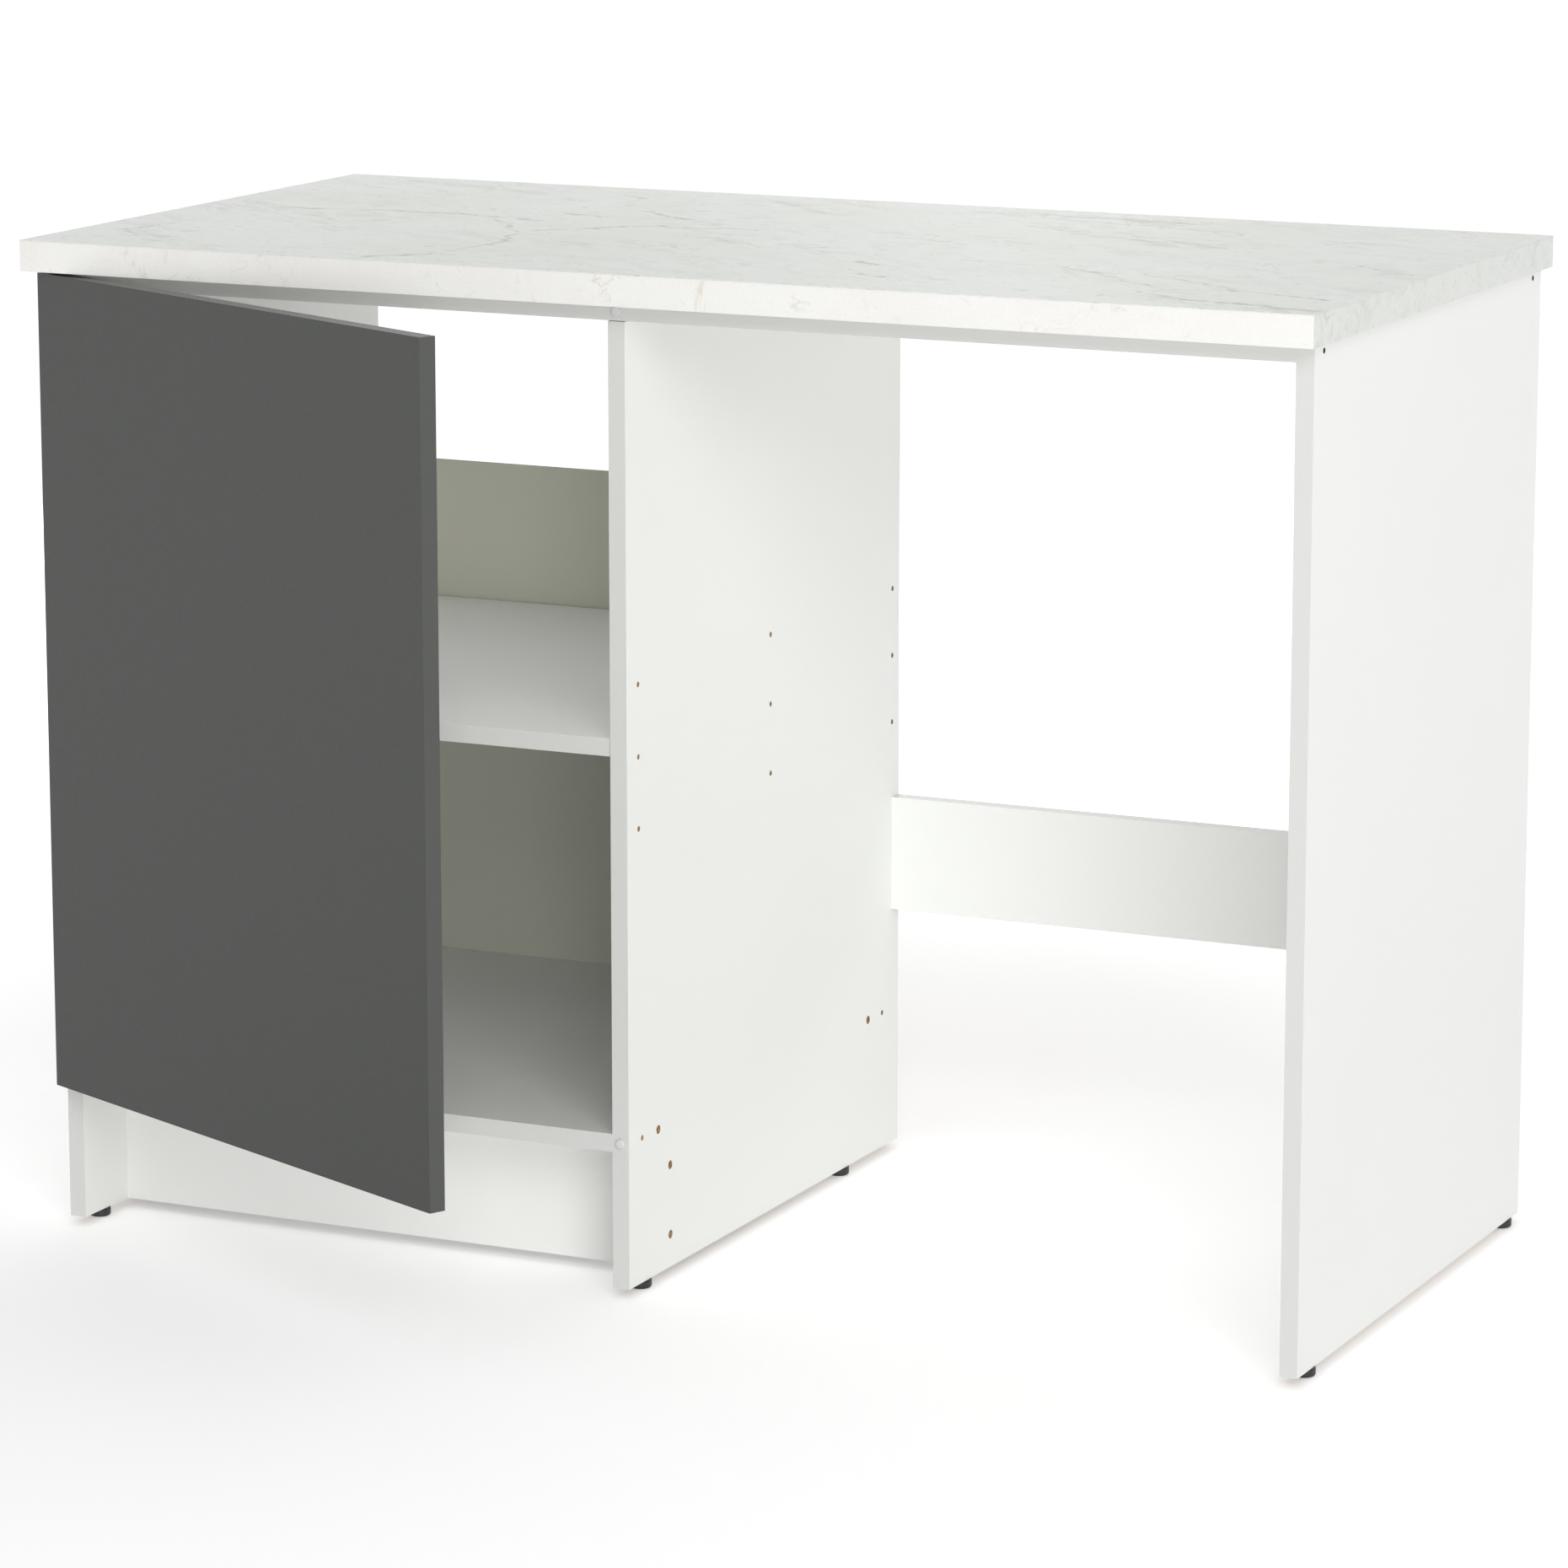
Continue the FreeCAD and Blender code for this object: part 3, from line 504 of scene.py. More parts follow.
def drawn_strokes(tree, stirred, strokes):
    """One mask for all of a list of strokes on the worktop."""
    corner_low, corner_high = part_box("worktop_laminate")
    total = None
    for start_x, start_y, end_x, end_y, half_width, strength in strokes:
        mask = add_group(
            tree, vein_stroke, stirred,
            start=(corner_low.x + start_x * MM, corner_high.y - start_y * MM, 0),
            end=(corner_low.x + end_x * MM, corner_high.y - end_y * MM, 0),
            half_width=half_width * MM,
        )
        mask = math_node(tree, "MULTIPLY", mask, strength)
        total = mask if total is None else math_node(tree, "MAXIMUM", total, mask)
    return total


def drawn_veins(tree, place):
    """The worktop's own veins, as wandering broken strokes."""
    flat, stirred = wander(tree, place)
    veins = drawn_strokes(tree, stirred, TOP_VEINS)
    broken = math_node(tree, "MULTIPLY", veins, cloudy(tree, flat, "vein breaks"))
    return math_node(tree, "MULTIPLY", broken, VEIN_DEPTH, clamp=True)


def drawn_patches(tree, place):
    """Where the worktop is mottled most."""
    stirred = wander(tree, place)[1]
    return math_node(tree, "MULTIPLY", drawn_strokes(tree, stirred, TOP_PATCHES), PATCH_DEPTH, clamp=True)


def uneven_gloss(tree, shader, pattern, spread, lowest):
    """Roughness that rises from its lowest value by a spread, after a pattern."""
    rough = math_node(tree, "ADD", math_node(tree, "MULTIPLY", pattern, spread), lowest)
    tree.links.new(rough, shader.inputs["Roughness"])


def finish_stone(material, tree, shader, place, color):
    """A fine printed grain over the stone's colours, and a satin gloss."""
    speck = noise(tree, place, SPECK_SCALE, detail=2.0)
    level = math_node(tree, "ADD", swing(tree, speck, SPECK_DEPTH), 1.0)
    tree.links.new(scaled(tree, color, level), shader.inputs["Base Color"])
    uneven_gloss(tree, shader, speck, STONE_GLOSS_SPREAD, STONE_ROUGHNESS)
    bump(tree, shader, speck, strength=0.08, distance=STONE_RELIEF)
    return material


def make_stone_top(name, offset, cool, olive, veined):
    material, tree, shader = new_material(name)
    place = object_place(tree)
    shifted = add_node(tree, "ShaderNodeMapping", {"Vector": place, "Location": offset}).outputs[0]
    slanted = add_node(tree, "ShaderNodeMapping", {
        "Vector": shifted, "Rotation": (0, 0, -SLANT), "Scale": (1.0, STREAK_WIDTH, STREAK_WIDTH),
    }, vector_type="TEXTURE").outputs[0]
    color = mix_colors(tree, cloudy(tree, shifted, "tone"), cool, olive)
    patches = cloudy(tree, shifted, "patches")
    if veined:
        patches = math_node(tree, "MULTIPLY", patches, OTHER_PATCHES)
        patches = math_node(tree, "MAXIMUM", patches, drawn_patches(tree, place))
    mottle = math_node(tree, "MULTIPLY", cloudy(tree, slanted, "mottle"), patches)
    mottle = math_node(tree, "MULTIPLY", mottle, MOTTLE_DEPTH)
    streaks = math_node(tree, "MULTIPLY", cloudy(tree, slanted, "streaks"), STREAK_DEPTH)
    color = mix_colors(tree, math_node(tree, "MAXIMUM", mottle, streaks), color, STONE_MOTTLE)
    fine = add_group(tree, stone_vein, slanted, **FINE_VEINS)
    fine = math_node(tree, "MAXIMUM", fine, add_group(tree, stone_vein, slanted, **LONG_VEINS))
    color = mix_colors(tree, math_node(tree, "MULTIPLY", fine, FINE_VEIN_DEPTH), color, VEIN_GREY)
    if veined:
        vein_color = mix_colors(tree, cloudy(tree, shifted, "knots"), VEIN_GREY, VEIN_BROWN)
        color = mix_colors(tree, drawn_veins(tree, place), color, vein_color)
    return finish_stone(material, tree, shader, place, color)


def make_stone_front(name, offset):
    material, tree, shader = new_material(name)
    place = object_place(tree)
    shifted = add_node(tree, "ShaderNodeMapping", {"Vector": place, "Location": offset}).outputs[0]
    color = mix_colors(tree, cloudy(tree, shifted, "edging tone"), EDGING_PALE, EDGING_WARM)
    lines = add_group(tree, stone_vein, shifted, **EDGING_LINES)
    lines = math_node(tree, "MAXIMUM", lines, add_group(tree, stone_vein, shifted, **EDGING_THREADS))
    color = mix_colors(tree, math_node(tree, "MULTIPLY", lines, EDGING_VEIN_DEPTH), color, EDGING_VEIN)
    return finish_stone(material, tree, shader, place, color)


stone_top = make_stone_top("stone_laminate_top", TOP_OFFSET, STONE_COOL, STONE_OLIVE, veined=True)
stone_ends = make_stone_top("stone_end_edging", ENDS_OFFSET, ENDS_COOL, ENDS_OLIVE, veined=False)
stone_front = make_stone_front("stone_front_edging", FRONT_OFFSET)
dress("worktop_laminate", "carcass", "stone_laminate", stone_top, ease=LAMINATE_EASE)
dress("worktop_front_edging", "carcass", "stone_laminate", stone_front, ease=LAMINATE_EASE)
for strip in ("worktop_left_edging", "worktop_right_edging"):
    dress(strip, "carcass", "stone_laminate", stone_ends, ease=LAMINATE_EASE)
backing_sheet = foil_material(
    "backing_sheet", BACKING_PALE, roughness=0.6, cloudiness=0.05, grain=0.08, relief=0.3,
)
dress("worktop_board", "carcass", "chipboard", chipboard, ease=CORE_EASE, sides={"-z": backing_sheet})

# Shelf: one foil-wrapped board, edged all round because it lifts out.
# It lies loose on four plated steel pins with flat tabs, which are pushed into the panels' rows of holes.
STEEL_PALE = (0.66, 0.655, 0.64, 1)
# The black steel colours the rail screws, and also the walls of the holes they sit in, as painted shade.
STEEL_BLACK_AND_HOLE_SHADE = (0.03, 0.03, 0.032, 1)
STEEL_DRAWN = (900.0, 60.0, 900.0)
STEEL_SPOTS = 180.0
STEEL_SHADE = 0.8
STEEL_GLOSS_SPREAD = 0.2
STEEL_RELIEF = 0.05 * MM
PIN_EASE = 0.3 * MM
banded = {side: edge_banding for side in ("-x", "+x", "-y", "+y")}
dress("shelf", "shelf", "white_foil", white_foil, inside=chipboard, sides=banded)


def toned(color, factor):
    return tuple(part * factor for part in color[:3]) + (1,)


def make_plated_steel(name, color, roughness):
    """Plated sheet steel: a faint drawn grain along the part and small changes of gloss."""
    material, tree, shader = new_material(name)
    place = object_place(tree)
    drawn = add_node(tree, "ShaderNodeMapping", {"Vector": place, "Scale": STEEL_DRAWN}).outputs[0]
    lines = noise(tree, drawn, scale=1.0, detail=3.0)
    spots = noise(tree, place, STEEL_SPOTS, detail=4.0)
    tree.links.new(mix_colors(tree, spots, toned(color, STEEL_SHADE), color), shader.inputs["Base Color"])
    shader.inputs["Metallic"].default_value = 1.0
    uneven_gloss(tree, shader, lines, STEEL_GLOSS_SPREAD, roughness - STEEL_GLOSS_SPREAD / 2)
    bump(tree, shader, lines, strength=0.15, distance=STEEL_RELIEF)
    return material


plated_steel = make_plated_steel("plated_steel", STEEL_PALE, roughness=0.3)
black_steel_and_shade = make_plated_steel("black_steel_and_hole_shade", STEEL_BLACK_AND_HOLE_SHADE, roughness=0.45)
dress("shelf_pins", "carcass", "steel", plated_steel, ease=PIN_EASE)

# Feet: black moulded glides, each a round pad with a rounded sole and a grooved rim.
# A ribbed stem above the pad is pressed into a hole in the panel's lower edge.
GLIDE_BLACK = (0.012, 0.012, 0.013, 1)
GLIDE_SPARK = 1600.0
GLIDE_SCUFF = 120.0
SCUFF_GAIN = 1.5
SCUFF_LIFT = 0.01
GLIDE_GLOSS_SPREAD = 0.2
GLIDE_RELIEF = 0.08 * MM
TURN_STEPS = 40
TURN_WELD = 0.002 * MM
TURN_SHARP = math.radians(35)
SOLE_ROUND = 2.5 * MM
SOLE_STEPS = 6
STEM_RADIUS = 3 * MM
STEM_TIP = 0.8 * MM
GLIDE_RIBS = 3
RIB_DEPTH = 0.4 * MM
RIB_START = 0.35
RIB_RISE = 0.6 * MM
RIB_LENGTH = 2 * MM

# The pad's rim, in millimetres: how far in from its full radius, and how far below the panel.
PAD_RIM = ((0, 1.6), (0.6, 1.2), (0.6, 0.8), (0, 0.5), (0.3, 0))


def make_moulded(name, color, roughness):
    material, tree, shader = new_material(name)
    place = object_place(tree)
    spark = noise(tree, place, GLIDE_SPARK, detail=2.0)
    scuff = noise(tree, place, GLIDE_SCUFF, detail=5.0)
    lighter = tuple(min(1.0, part * SCUFF_GAIN + SCUFF_LIFT) for part in color[:3]) + (1,)
    tree.links.new(mix_colors(tree, scuff, color, lighter), shader.inputs["Base Color"])
    uneven_gloss(tree, shader, scuff, GLIDE_GLOSS_SPREAD, roughness - GLIDE_GLOSS_SPREAD / 2)
    bump(tree, shader, spark, strength=0.25, distance=GLIDE_RELIEF)
    return material


def turned_mesh(name, profile):
    """A closed solid of revolution about Z from (radius, height) points that start and end on the axis."""
    work = bmesh.new()
    points = [work.verts.new((radius, 0, height)) for radius, height in profile]
    lines = [work.edges.new(pair) for pair in zip(points, points[1:])]
    bmesh.ops.spin(
        work, geom=points + lines, cent=(0, 0, 0), axis=(0, 0, 1), angle=math.tau, steps=TURN_STEPS,
        use_merge=True,
    )
    bmesh.ops.remove_doubles(work, verts=work.verts, dist=TURN_WELD)
    bmesh.ops.recalc_face_normals(work, faces=work.faces)
    mesh = bpy.data.meshes.new(name)
    work.to_mesh(mesh)
    work.free()
    mesh.shade_smooth()
    mesh.set_sharp_from_angle(angle=TURN_SHARP)
    return mesh


def add_sockets(tree, kind, in_out, *names):
    for name in names:
        tree.interface.new_socket(name, in_out=in_out, socket_type=kind)


def end_on_points(tree, given, result, piece):
    """End a tree: the piece on every point, its Z along the point's facing, made real, with its finish."""
    facing = add_node(tree, "GeometryNodeInputNamedAttribute", {"Name": "facing"}, data_type="FLOAT_VECTOR")
    turn = add_node(tree, "FunctionNodeAlignRotationToVector", {"Vector": facing.outputs[0]}, axis="Z")
    placed = add_node(tree, "GeometryNodeInstanceOnPoints", {
        "Points": given["Points"], "Instance": piece, "Rotation": turn.outputs[0],
    })
    real = add_node(tree, "GeometryNodeRealizeInstances", {0: placed.outputs[0]})
    finished = add_node(tree, "GeometryNodeSetMaterial", {
        "Geometry": real.outputs[0], "Material": given["Finish"],
    })
    tree.links.new(finished.outputs[0], result[0])


def make_spread_tree():
    """Sets one piece on every point of a mesh."""
    tree = bpy.data.node_groups.new("set_on_points", "GeometryNodeTree")
    add_sockets(tree, "NodeSocketGeometry", "INPUT", "Points")
    add_sockets(tree, "NodeSocketObject", "INPUT", "Piece")
    add_sockets(tree, "NodeSocketMaterial", "INPUT", "Finish")
    add_sockets(tree, "NodeSocketGeometry", "OUTPUT", "Pieces")
    given = tree.nodes.new("NodeGroupInput").outputs
    result = tree.nodes.new("NodeGroupOutput").inputs
    source = add_node(tree, "GeometryNodeObjectInfo", {"Object": given["Piece"]})
    end_on_points(tree, given, result, source.outputs["Geometry"])
    return tree


set_on_points = make_spread_tree()


def run_tree(name, places, tree, values):
    """Run a tree on facing points and keep what it makes as a plain mesh."""
    mesh = bpy.data.meshes.new(name + "_points")
    mesh.from_pydata([spot for spot, facing in places], [], [])
    facings = mesh.attributes.new("facing", "FLOAT_VECTOR", "POINT")
    for item, (spot, facing) in zip(facings.data, places):
        item.vector = facing
    carrier = add_object(name + "_points", mesh)
    modifier = carrier.modifiers.new(tree.name, "NODES")
    modifier.node_group = tree
    for socket in tree.interface.items_tree:
        if socket.in_out == "INPUT" and socket.name in values:
            modifier[socket.identifier] = values[socket.name]
    graph = bpy.context.evaluated_depsgraph_get()
    made = bpy.data.meshes.new_from_object(carrier.evaluated_get(graph), depsgraph=graph)
    bpy.data.objects.remove(carrier)
    return add_object(name, made)


def spread(name, mesh, places, finish):
    """Copies of one turned mesh on facing points, as one piece."""
    pattern = add_object(name + "_pattern", mesh)
    piece = run_tree(name, places, set_on_points, {"Piece": pattern, "Finish": finish})
    bpy.data.objects.remove(pattern)
    return piece


glide_black = make_moulded("moulded_black", GLIDE_BLACK, roughness=0.5)
foot_nodes = [f"{side}_{end}_foot" for side in ("left", "middle", "right") for end in ("front", "rear")]
foot_low, foot_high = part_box("left_front_foot")
pad_radius = (foot_high.x - foot_low.x) / 2
panel_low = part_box("left_side_panel")[0].z
stem_core = STEM_RADIUS - RIB_DEPTH
stem_length = foot_high.z - panel_low
sole_radius = pad_radius - SOLE_ROUND
foot_profile = [(0, 0), (sole_radius, 0)]
for step in range(1, SOLE_STEPS + 1):
    turn = math.radians(90 * step / SOLE_STEPS)
    foot_profile.append((sole_radius + SOLE_ROUND * math.sin(turn), SOLE_ROUND - SOLE_ROUND * math.cos(turn)))
foot_profile += [(pad_radius - inset * MM, panel_low - drop * MM) for inset, drop in PAD_RIM]
foot_profile.append((stem_core, panel_low))
for rib in range(GLIDE_RIBS):
    base = panel_low + stem_length * (rib + RIB_START) / GLIDE_RIBS
    foot_profile += [(stem_core, base), (STEM_RADIUS, base + RIB_RISE), (stem_core, base + RIB_LENGTH)]
foot_profile += [(stem_core, foot_high.z - STEM_TIP), (stem_core - STEM_TIP, foot_high.z), (0, foot_high.z)]
foot_places = []
for foot in foot_nodes:
    low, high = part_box(foot)
    foot_places.append((((low.x + high.x) / 2, (low.y + high.y) / 2, low.z), SIDES["+z"]))
feet = spread("feet_glides", turned_mesh("foot_glide", foot_profile), foot_places, glide_black)
settle(feet, "carcass", "black_plastic", *foot_nodes)

# Door bumpers: soft milky buttons with a domed face, where the door meets the rail and the middle panel.
# They are moulded with a short stem, which is pushed into a 5 mm hole.
BUMPER_MILKY = (0.86, 0.875, 0.87, 1)
BUMPER_SHADE = 0.9
BUMPER_ROUGHNESS = 0.2
BUMPER_CLEARNESS = 0.2
BUMPER_IOR = 1.45
BUMPER_MURK = 300.0
BUMPER_RELIEF = 0.1 * MM
BUMPER_DOME = 0.45
DOME_FULLNESS = 0.98
DOME_STEPS = (0.35, 0.6, 0.78, 0.9, 0.97, 1.0)
BUMPER_STEM_RADIUS = 2.3 * MM
BUMPER_TIP_RADIUS = 1.6 * MM
BUMPER_CHAMFER = 0.2 * MM
BUMPER_RIM = 0.9
BUMPER_STRAIGHT = 0.85


def make_bumper_plastic():
    material, tree, shader = new_material("soft_bumper")
    murk = noise(tree, object_place(tree), BUMPER_MURK, detail=3.0)
    dim = toned(BUMPER_MILKY, BUMPER_SHADE)
    tree.links.new(mix_colors(tree, murk, dim, BUMPER_MILKY), shader.inputs["Base Color"])
    shader.inputs["Roughness"].default_value = BUMPER_ROUGHNESS
    shader.inputs["Transmission Weight"].default_value = BUMPER_CLEARNESS
    shader.inputs["IOR"].default_value = BUMPER_IOR
    bump(tree, shader, murk, strength=0.05, distance=BUMPER_RELIEF)
    return material


soft_bumper = make_bumper_plastic()
bumper_nodes = ("upper_door_bumper", "lower_door_bumper")
bumper_places = []
for bumper in bumper_nodes:
    low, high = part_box(bumper)
    bumper_places.append((((low.x + high.x) / 2, low.y, (low.z + high.z) / 2), SIDES["-y"]))
bumper_low, bumper_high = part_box("lower_door_bumper")
bumper_radius = (bumper_high.x - bumper_low.x) / 2
panel_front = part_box("middle_side_panel")[0].y
bumper_head = panel_front - bumper_low.y
bumper_stem = bumper_high.y - panel_front
bumper_profile = [(0, 0)]
for share in DOME_STEPS:
    drop = bumper_head * BUMPER_DOME * (1 - math.sqrt(1 - DOME_FULLNESS * share**4))
    bumper_profile.append((bumper_radius * share, -drop))
bumper_profile += [
    (bumper_radius, -bumper_head * BUMPER_RIM),
    (bumper_radius - BUMPER_CHAMFER, -bumper_head),
    (BUMPER_STEM_RADIUS, -bumper_head),
    (BUMPER_STEM_RADIUS, -bumper_head - bumper_stem * BUMPER_STRAIGHT),
    (BUMPER_TIP_RADIUS, -bumper_head - bumper_stem),
    (0, -bumper_head - bumper_stem),
]
bumpers = spread("door_bumpers", turned_mesh("door_bumper", bumper_profile), bumper_places, soft_bumper)
settle(bumpers, "carcass", "clear_plastic", *bumper_nodes)

# Screws and cam nuts: plated steel with pressed cross slots, set where the hardware is fixed.
# The rail screws are black steel sunk in the outer panels' holes, whose walls above the rails get the same
# black as painted shade, and the hardboard's nails have flat heads.
SCREW_WELD = 0.004 * MM
HEAD_SIDES = 32
SHANK_SIDES = 16
SHANK_TAPER = 0.6
REARWARD = 0.5
SCREW_SIZES = (
    "Head Radius", "Rim Radius", "Head Height", "Shank Radius", "Shank Length",
    "Slot Width", "Slot Span", "Slot Depth",
)


def make_screw_tree():
    """Cross-slot screws on facing points: each point is the middle of the head's underside."""
    tree = bpy.data.node_groups.new("cross_slot_screws", "GeometryNodeTree")
    add_sockets(tree, "NodeSocketGeometry", "INPUT", "Points")
    add_sockets(tree, "NodeSocketFloat", "INPUT", *SCREW_SIZES)
    add_sockets(tree, "NodeSocketMaterial", "INPUT", "Finish")
    add_sockets(tree, "NodeSocketGeometry", "OUTPUT", "Screws")
    given = tree.nodes.new("NodeGroupInput").outputs
    result = tree.nodes.new("NodeGroupOutput").inputs
    head = add_node(tree, "GeometryNodeMeshCone", {
        "Vertices": HEAD_SIDES, "Radius Top": given["Rim Radius"], "Radius Bottom": given["Head Radius"],
        "Depth": given["Head Height"],
    })
    shank = add_node(tree, "GeometryNodeMeshCone", {
        "Vertices": SHANK_SIDES, "Radius Top": given["Shank Radius"],
        "Radius Bottom": math_node(tree, "MULTIPLY", given["Shank Radius"], SHANK_TAPER),
        "Depth": given["Shank Length"],
    })
    shank_low = add_node(tree, "ShaderNodeCombineXYZ", {
        "Z": math_node(tree, "MULTIPLY", given["Shank Length"], -1.0),
    }).outputs[0]
    shank = add_node(tree, "GeometryNodeTransform", {"Geometry": shank.outputs[0], "Translation": shank_low})
    slot_level = add_node(tree, "ShaderNodeCombineXYZ", {"Z": given["Head Height"]}).outputs[0]
    slotted = add_node(tree, "GeometryNodeMeshBoolean", {"Mesh 1": head.outputs[0]}, operation="DIFFERENCE")
    for along, across, deep in (("Slot Span", "Slot Width", 2.0), ("Slot Width", "Slot Span", 1.8)):
        depth = math_node(tree, "MULTIPLY", given["Slot Depth"], deep)
        size = add_node(tree, "ShaderNodeCombineXYZ", {"X": given[along], "Y": given[across], "Z": depth})
        bar = add_node(tree, "GeometryNodeMeshCube", {"Size": size.outputs[0]})
        bar = add_node(tree, "GeometryNodeTransform", {"Geometry": bar.outputs[0], "Translation": slot_level})
        tree.links.new(bar.outputs[0], slotted.inputs["Mesh 2"])
    welded = add_node(tree, "GeometryNodeMergeByDistance", {
        "Geometry": slotted.outputs[0], "Distance": SCREW_WELD,
    })
    whole = tree.nodes.new("GeometryNodeJoinGeometry")
    tree.links.new(welded.outputs[0], whole.inputs[0])
    tree.links.new(shank.outputs[0], whole.inputs[0])
    end_on_points(tree, given, result, whole.outputs[0])
    return tree


cross_slot_screws = make_screw_tree()


def solids_of(node):
    """The corner points of each separate solid in a CAD node."""
    work = bmesh.new()
    work.from_mesh(nodes[node].data)
    bmesh.ops.remove_doubles(work, verts=work.verts, dist=WELD)
    left = set(work.verts)
    found = []
    while left:
        reached = [left.pop()]
        for vert in reached:
            for edge in vert.link_edges:
                other = edge.other_vert(vert)
                if other in left:
                    left.remove(other)
                    reached.append(other)
        found.append([vert.co.copy() for vert in reached])
    work.free()
    return found


def seat_of(points, facing, head_height):
    """Where a fastener's head sits: the middle of its outline, one head height below its outer end."""
    low = Vector(min(point[axis] for point in points) for axis in range(3))
    high = Vector(max(point[axis] for point in points) for axis in range(3))
    centre = (low + high) / 2
    reach = max(point.dot(facing) for point in points)
    return centre + facing * (reach - head_height - centre.dot(facing))


def screw_values(finish, *sizes):
    """A screw's sizes, in millimetres and in the order of the tree's sockets, and its finish."""
    values = {name: size * MM for name, size in zip(SCREW_SIZES, sizes)}
    values["Finish"] = finish
    return values


def add_screws(name, node, body, values, facing_of):
    places = []
    for points in solids_of(node):
        facing = facing_of(points)
        places.append((seat_of(points, facing, values["Head Height"]), facing))
    settle(run_tree(name, places, cross_slot_screws, values), body, "steel", node)


def outward_x(points):
    centre = (cad_box[0].x + cad_box[1].x) / 2
    return SIDES["-x"] if points[0].x < centre else SIDES["+x"]


def cam_facing(points):
    width = max(point.y for point in points) - min(point.y for point in points)
    height = max(point.z for point in points) - min(point.z for point in points)
    return SIDES["-z"] if height < width else SIDES["+y"]


door_faces = nodes["door"].data.polygons
door_rear = max(
    (face for face in door_faces if face.normal.y > REARWARD),
    key=lambda face: face.area,
).normal.copy()
small_screw = screw_values(plated_steel, 3.6, 2.7, 1.8, 1.75, 11, 0.9, 3.8, 1.0)
arm_screw = screw_values(plated_steel, 3.6, 2.7, 1.8, 1.75, 5.4, 0.9, 3.8, 1.0)
top_screw = screw_values(plated_steel, 4.5, 3.2, 2.5, 2, 31, 1.0, 4.6, 1.4)
rail_screw = screw_values(black_steel_and_shade, 2.45, 2.45, 15, 2, 34, 1.0, 3.4, 1.2)
cam_nut = screw_values(plated_steel, 7.45, 7.3, 12.5, 1, 0.1, 1.8, 10, 3)
add_screws("cup_screws", "hinge_cup_screws", "door", small_screw, lambda points: door_rear)
add_screws("plate_screws", "hinge_plate_screws", "carcass", small_screw, lambda points: SIDES["+x"])
add_screws("arm_screws", "hinge_arm_screws", "carcass", arm_screw, lambda points: SIDES["+x"])
add_screws("worktop_fixing_screws", "worktop_screws", "carcass", top_screw, lambda points: SIDES["-z"])
add_screws("rail_end_screws", "rail_screws", "carcass", rail_screw, outward_x)
# Painted shade: the walls of the outer panels' holes above the rails get the black steel, so these holes read
# black.
rail_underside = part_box("front_rail")[0].z
for panel in ("left_side_panel", "right_end_panel"):
    panel_mesh = panels[panel].data
    panel_mesh.materials.append(black_steel_and_shade)
    for face in panel_mesh.polygons:
        if face.material_index == DRILLED and face.center.z > rail_underside:
            face.material_index = len(panel_mesh.materials) - 1
add_screws("cam_lock_nuts", "cam_nuts", "carcass", cam_nut, cam_facing)
NAIL_HEAD = 0.8 * MM
NAIL_RIM = 0.6 * NAIL_HEAD
NAIL_RADIUS = 0.7 * MM
NAIL_LENGTH = 15 * MM
NAIL_POINT = 1.8 * MM
NAIL_HEAD_RADIUS = 2.15 * MM
NAIL_FACE_RADIUS = 1.9 * MM
nail_profile = [
    (0, -NAIL_LENGTH), (NAIL_RADIUS, NAIL_POINT - NAIL_LENGTH), (NAIL_RADIUS, 0), (NAIL_HEAD_RADIUS, 0),
    (NAIL_HEAD_RADIUS, NAIL_RIM), (NAIL_FACE_RADIUS, NAIL_HEAD), (0, NAIL_HEAD),
]
nail_places = [
    (seat_of(points, SIDES["+y"], NAIL_HEAD), SIDES["+y"])
    for points in solids_of("back_panel_nails")
]
nails = spread("hardboard_nails", turned_mesh("flat_nail", nail_profile), nail_places, plated_steel)
settle(nails, "carcass", "steel", "back_panel_nails")

# Dowels and bolts: plain beech dowels glued into the boards, and plated steel cam bolts screwed into them.
# The screws from the rails down into the middle panel are steel too. None shows once the unit is together.
BEECH_DARK = (0.5, 0.31, 0.16, 1)
BEECH_PALE = (0.66, 0.45, 0.26, 1)
BEECH_DRAWN = (60.0, 700.0, 700.0)
BEECH_ROUGHNESS = 0.7
BEECH_RELIEF = 0.2 * MM


def make_beech():
    material, tree, shader = new_material("beech")
    place = object_place(tree)
    drawn = add_node(tree, "ShaderNodeMapping", {"Vector": place, "Scale": BEECH_DRAWN}).outputs[0]
    grain = noise(tree, drawn, scale=1.0, detail=5.0)
    tree.links.new(mix_colors(tree, grain, BEECH_DARK, BEECH_PALE), shader.inputs["Base Color"])
    shader.inputs["Roughness"].default_value = BEECH_ROUGHNESS
    bump(tree, shader, grain, strength=0.3, distance=BEECH_RELIEF)
    return material


def refinish(node, material):
    nodes[node].data.materials.clear()
    nodes[node].data.materials.append(material)


beech = make_beech()
for dowel in ("bottom_panel_dowels", "plinth_dowels", "stretcher_dowels", "rail_dowels"):
    refinish(dowel, beech)
for bolt in ("cam_bolts", "middle_panel_screws"):
    refinish(bolt, plated_steel)

# Hinges: nickel-plated steel. A pressed cup with two lugs holds the pin, a bent arm turns on it,
# and a winged plate screwed to the side panel carries the arm.
HINGE_PIECES = (
    ("cup", "door", 0.15 * MM), ("pin", "door", 0.15 * MM),
    ("arm", "carcass", 0.35 * MM), ("plate", "carcass", 0.3 * MM),
)
for hinge in ("lower", "upper"):
    for part, body, ease in HINGE_PIECES:
        dress(f"{hinge}_hinge_{part}", body, "steel", plated_steel, ease=ease)

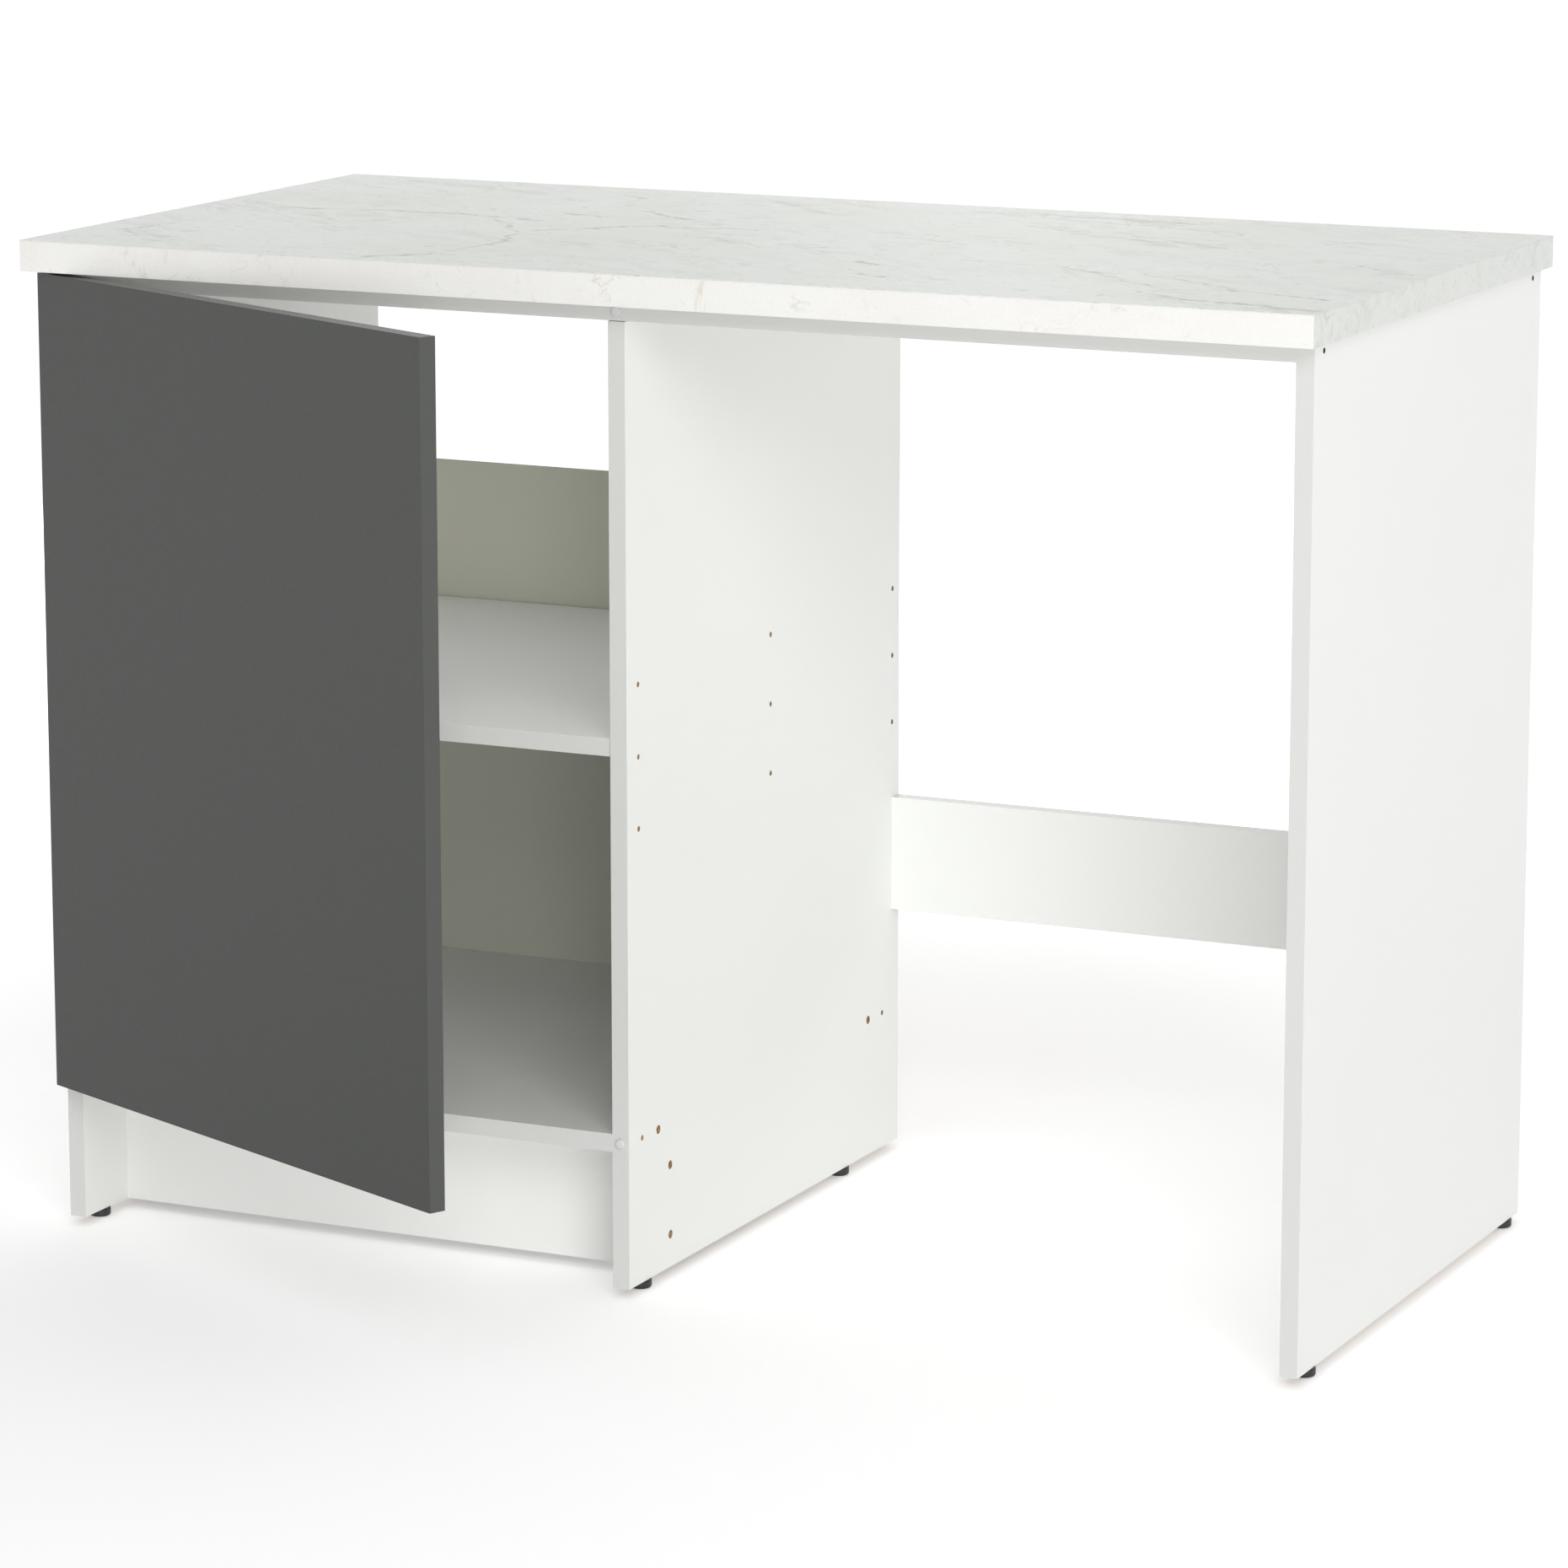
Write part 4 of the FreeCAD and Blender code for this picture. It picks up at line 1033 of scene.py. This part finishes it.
# Door: a board with matt dark grey foil on its face, a grey plastic edging all round and a white rear,
# which is bored for the two hinge cups.
DOOR_GREY = (0.046, 0.049, 0.0455, 1)
DOOR_BANDING = (0.066, 0.069, 0.0645, 1)
DOOR_EASE = 0.6 * MM
grey_foil = foil_material("grey_foil", DOOR_GREY, roughness=0.55, cloudiness=0.04, grain=0.10, relief=0.15)
grey_banding = foil_material(
    "grey_banding", DOOR_BANDING, roughness=0.48, cloudiness=0.03, grain=0.08, relief=0.15,
)
SIDES["door rear"] = door_rear
SIDES["door hinge edge"] = door_rear.cross(SIDES["-z"])
SIDES["door free edge"] = door_rear.cross(SIDES["+z"])
door_finishes = {side: grey_banding for side in ("door hinge edge", "door free edge", "-z", "+z")}
door_finishes["door rear"] = white_foil
dress("door", "door", "grey_foil", grey_foil, ease=DOOR_EASE, sides=door_finishes)

# Studio: a pale floor that runs on into a white surround, a high soft lamp at the front right that reaches
# into the cupboard, a low one beside it for the bay, and weak ones at the left and behind.
FLOOR_HALF = 40.0
FLOOR_LEVEL = -0.2 * MM
FLOOR_PALE = (0.93, 0.93, 0.93, 1)
FLOOR_GLOW = 0.3
FAR_FLOOR_GLOW = 0.57
FLOOR_GLOW_REACH = (1.1, 2.6)
SURROUND_LIGHT = 0.5
WHITE = (1, 1, 1, 1)

# Each lamp: its place right of and behind the object's middle and its height, its size, and its power.
LAMPS = {
    "key_softbox": ((3.9, -5.7, 4.3), (3.9, 3.0), 175.0),
    "low_softbox": ((4.5, -6.3, 0.72), (3.9, 1.3), 200.0),
    "left_softbox": ((-3.6, -3.2, 0.9), (2.6, 1.6), 12.0),
    "rear_left_softbox": ((-2.4, 3.6, 0.9), (2.6, 1.6), 40.0),
    "rear_right_softbox": ((3.2, 3.4, 1.4), (2.6, 2.0), 14.0),
    "rear_softbox": ((-0.3, 3.8, 2.2), (2.6, 2.0), 18.0),
}
middle = (cad_box[0] + cad_box[1]) / 2


def seen_directly(tree):
    """One for what the camera sees, straight on, in a reflection or through something clear."""
    seen = tree.nodes.new("ShaderNodeLightPath").outputs
    direct = math_node(tree, "MAXIMUM", seen["Is Camera Ray"], seen["Is Glossy Ray"])
    return math_node(tree, "MAXIMUM", direct, seen["Is Transmission Ray"])


def make_floor():
    """A wide floor that glows to white where it is seen, less near the object, so that a shadow shows."""
    mesh = bpy.data.meshes.new("studio_floor")
    outline = ((-1, -1), (1, -1), (1, 1), (-1, 1))
    mesh.from_pydata([(x * FLOOR_HALF, y * FLOOR_HALF, FLOOR_LEVEL) for x, y in outline], [], [(0, 1, 2, 3)])
    material, tree, shader = new_material("floor_pale")
    shader.inputs["Base Color"].default_value = FLOOR_PALE
    shader.inputs["Roughness"].default_value = 1.0
    shader.inputs["Specular IOR Level"].default_value = 0.0
    shader.inputs["Emission Color"].default_value = WHITE
    away = vector_node(tree, "DISTANCE", object_place(tree), (middle.x, middle.y, FLOOR_LEVEL), "Value")
    glow = add_node(tree, "ShaderNodeMapRange", {
        "Value": away, "From Min": FLOOR_GLOW_REACH[0], "From Max": FLOOR_GLOW_REACH[1],
        "To Min": FLOOR_GLOW, "To Max": FAR_FLOOR_GLOW,
    }).outputs["Result"]
    lit = math_node(tree, "MULTIPLY", seen_directly(tree), glow)
    tree.links.new(lit, shader.inputs["Emission Strength"])
    mesh.materials.append(material)
    floor = add_object("studio_floor", mesh)


def make_surround():
    """An even soft light from all round, which is seen as white."""
    world = bpy.data.worlds.new("white_surround")
    world.use_nodes = True
    tree = world.node_tree
    backdrop = tree.nodes["Background"]
    lift = math_node(tree, "MULTIPLY", seen_directly(tree), 1.0 - SURROUND_LIGHT)
    tree.links.new(math_node(tree, "ADD", lift, SURROUND_LIGHT), backdrop.inputs["Strength"])
    backdrop.inputs["Color"].default_value = WHITE
    scene.world = world


def add_lamp(name, spot, target, size, watts):
    lamp = bpy.data.lights.new(name, "AREA")
    lamp.shape = "RECTANGLE"
    lamp.size, lamp.size_y = size
    lamp.energy = watts
    holder = bpy.data.objects.new(name, lamp)
    holder.location = spot
    holder.rotation_euler = (Vector(target) - Vector(spot)).to_track_quat("-Z", "Y").to_euler()
    scene.collection.objects.link(holder)


make_floor()
make_surround()
for lamp_name, ((right, behind, height), lamp_size, power) in LAMPS.items():
    add_lamp(lamp_name, (middle.x + right, middle.y + behind, height), middle, lamp_size, power)

# Camera: the photograph's place and lens, a little right of the front and above the worktop.
# It looks slightly down, without a shift, so the uprights lean together a little.
CAMERA_PLACE = (2.9394, -4.7637, 1.5528)
CAMERA_YAW = 0.4397
CAMERA_DOWN = 0.2033
CAMERA_LENS = 143.1
SENSOR_WIDTH = 36.0
camera_data = bpy.data.cameras.new("photo_camera")
camera_data.lens = CAMERA_LENS
camera_data.sensor_width = SENSOR_WIDTH
camera = bpy.data.objects.new("photo_camera", camera_data)
camera.location = CAMERA_PLACE
camera.rotation_euler = (math.pi / 2 - CAMERA_DOWN, 0, CAMERA_YAW)
scene.collection.objects.link(camera)
scene.camera = camera
scene.view_settings.view_transform = "Standard"
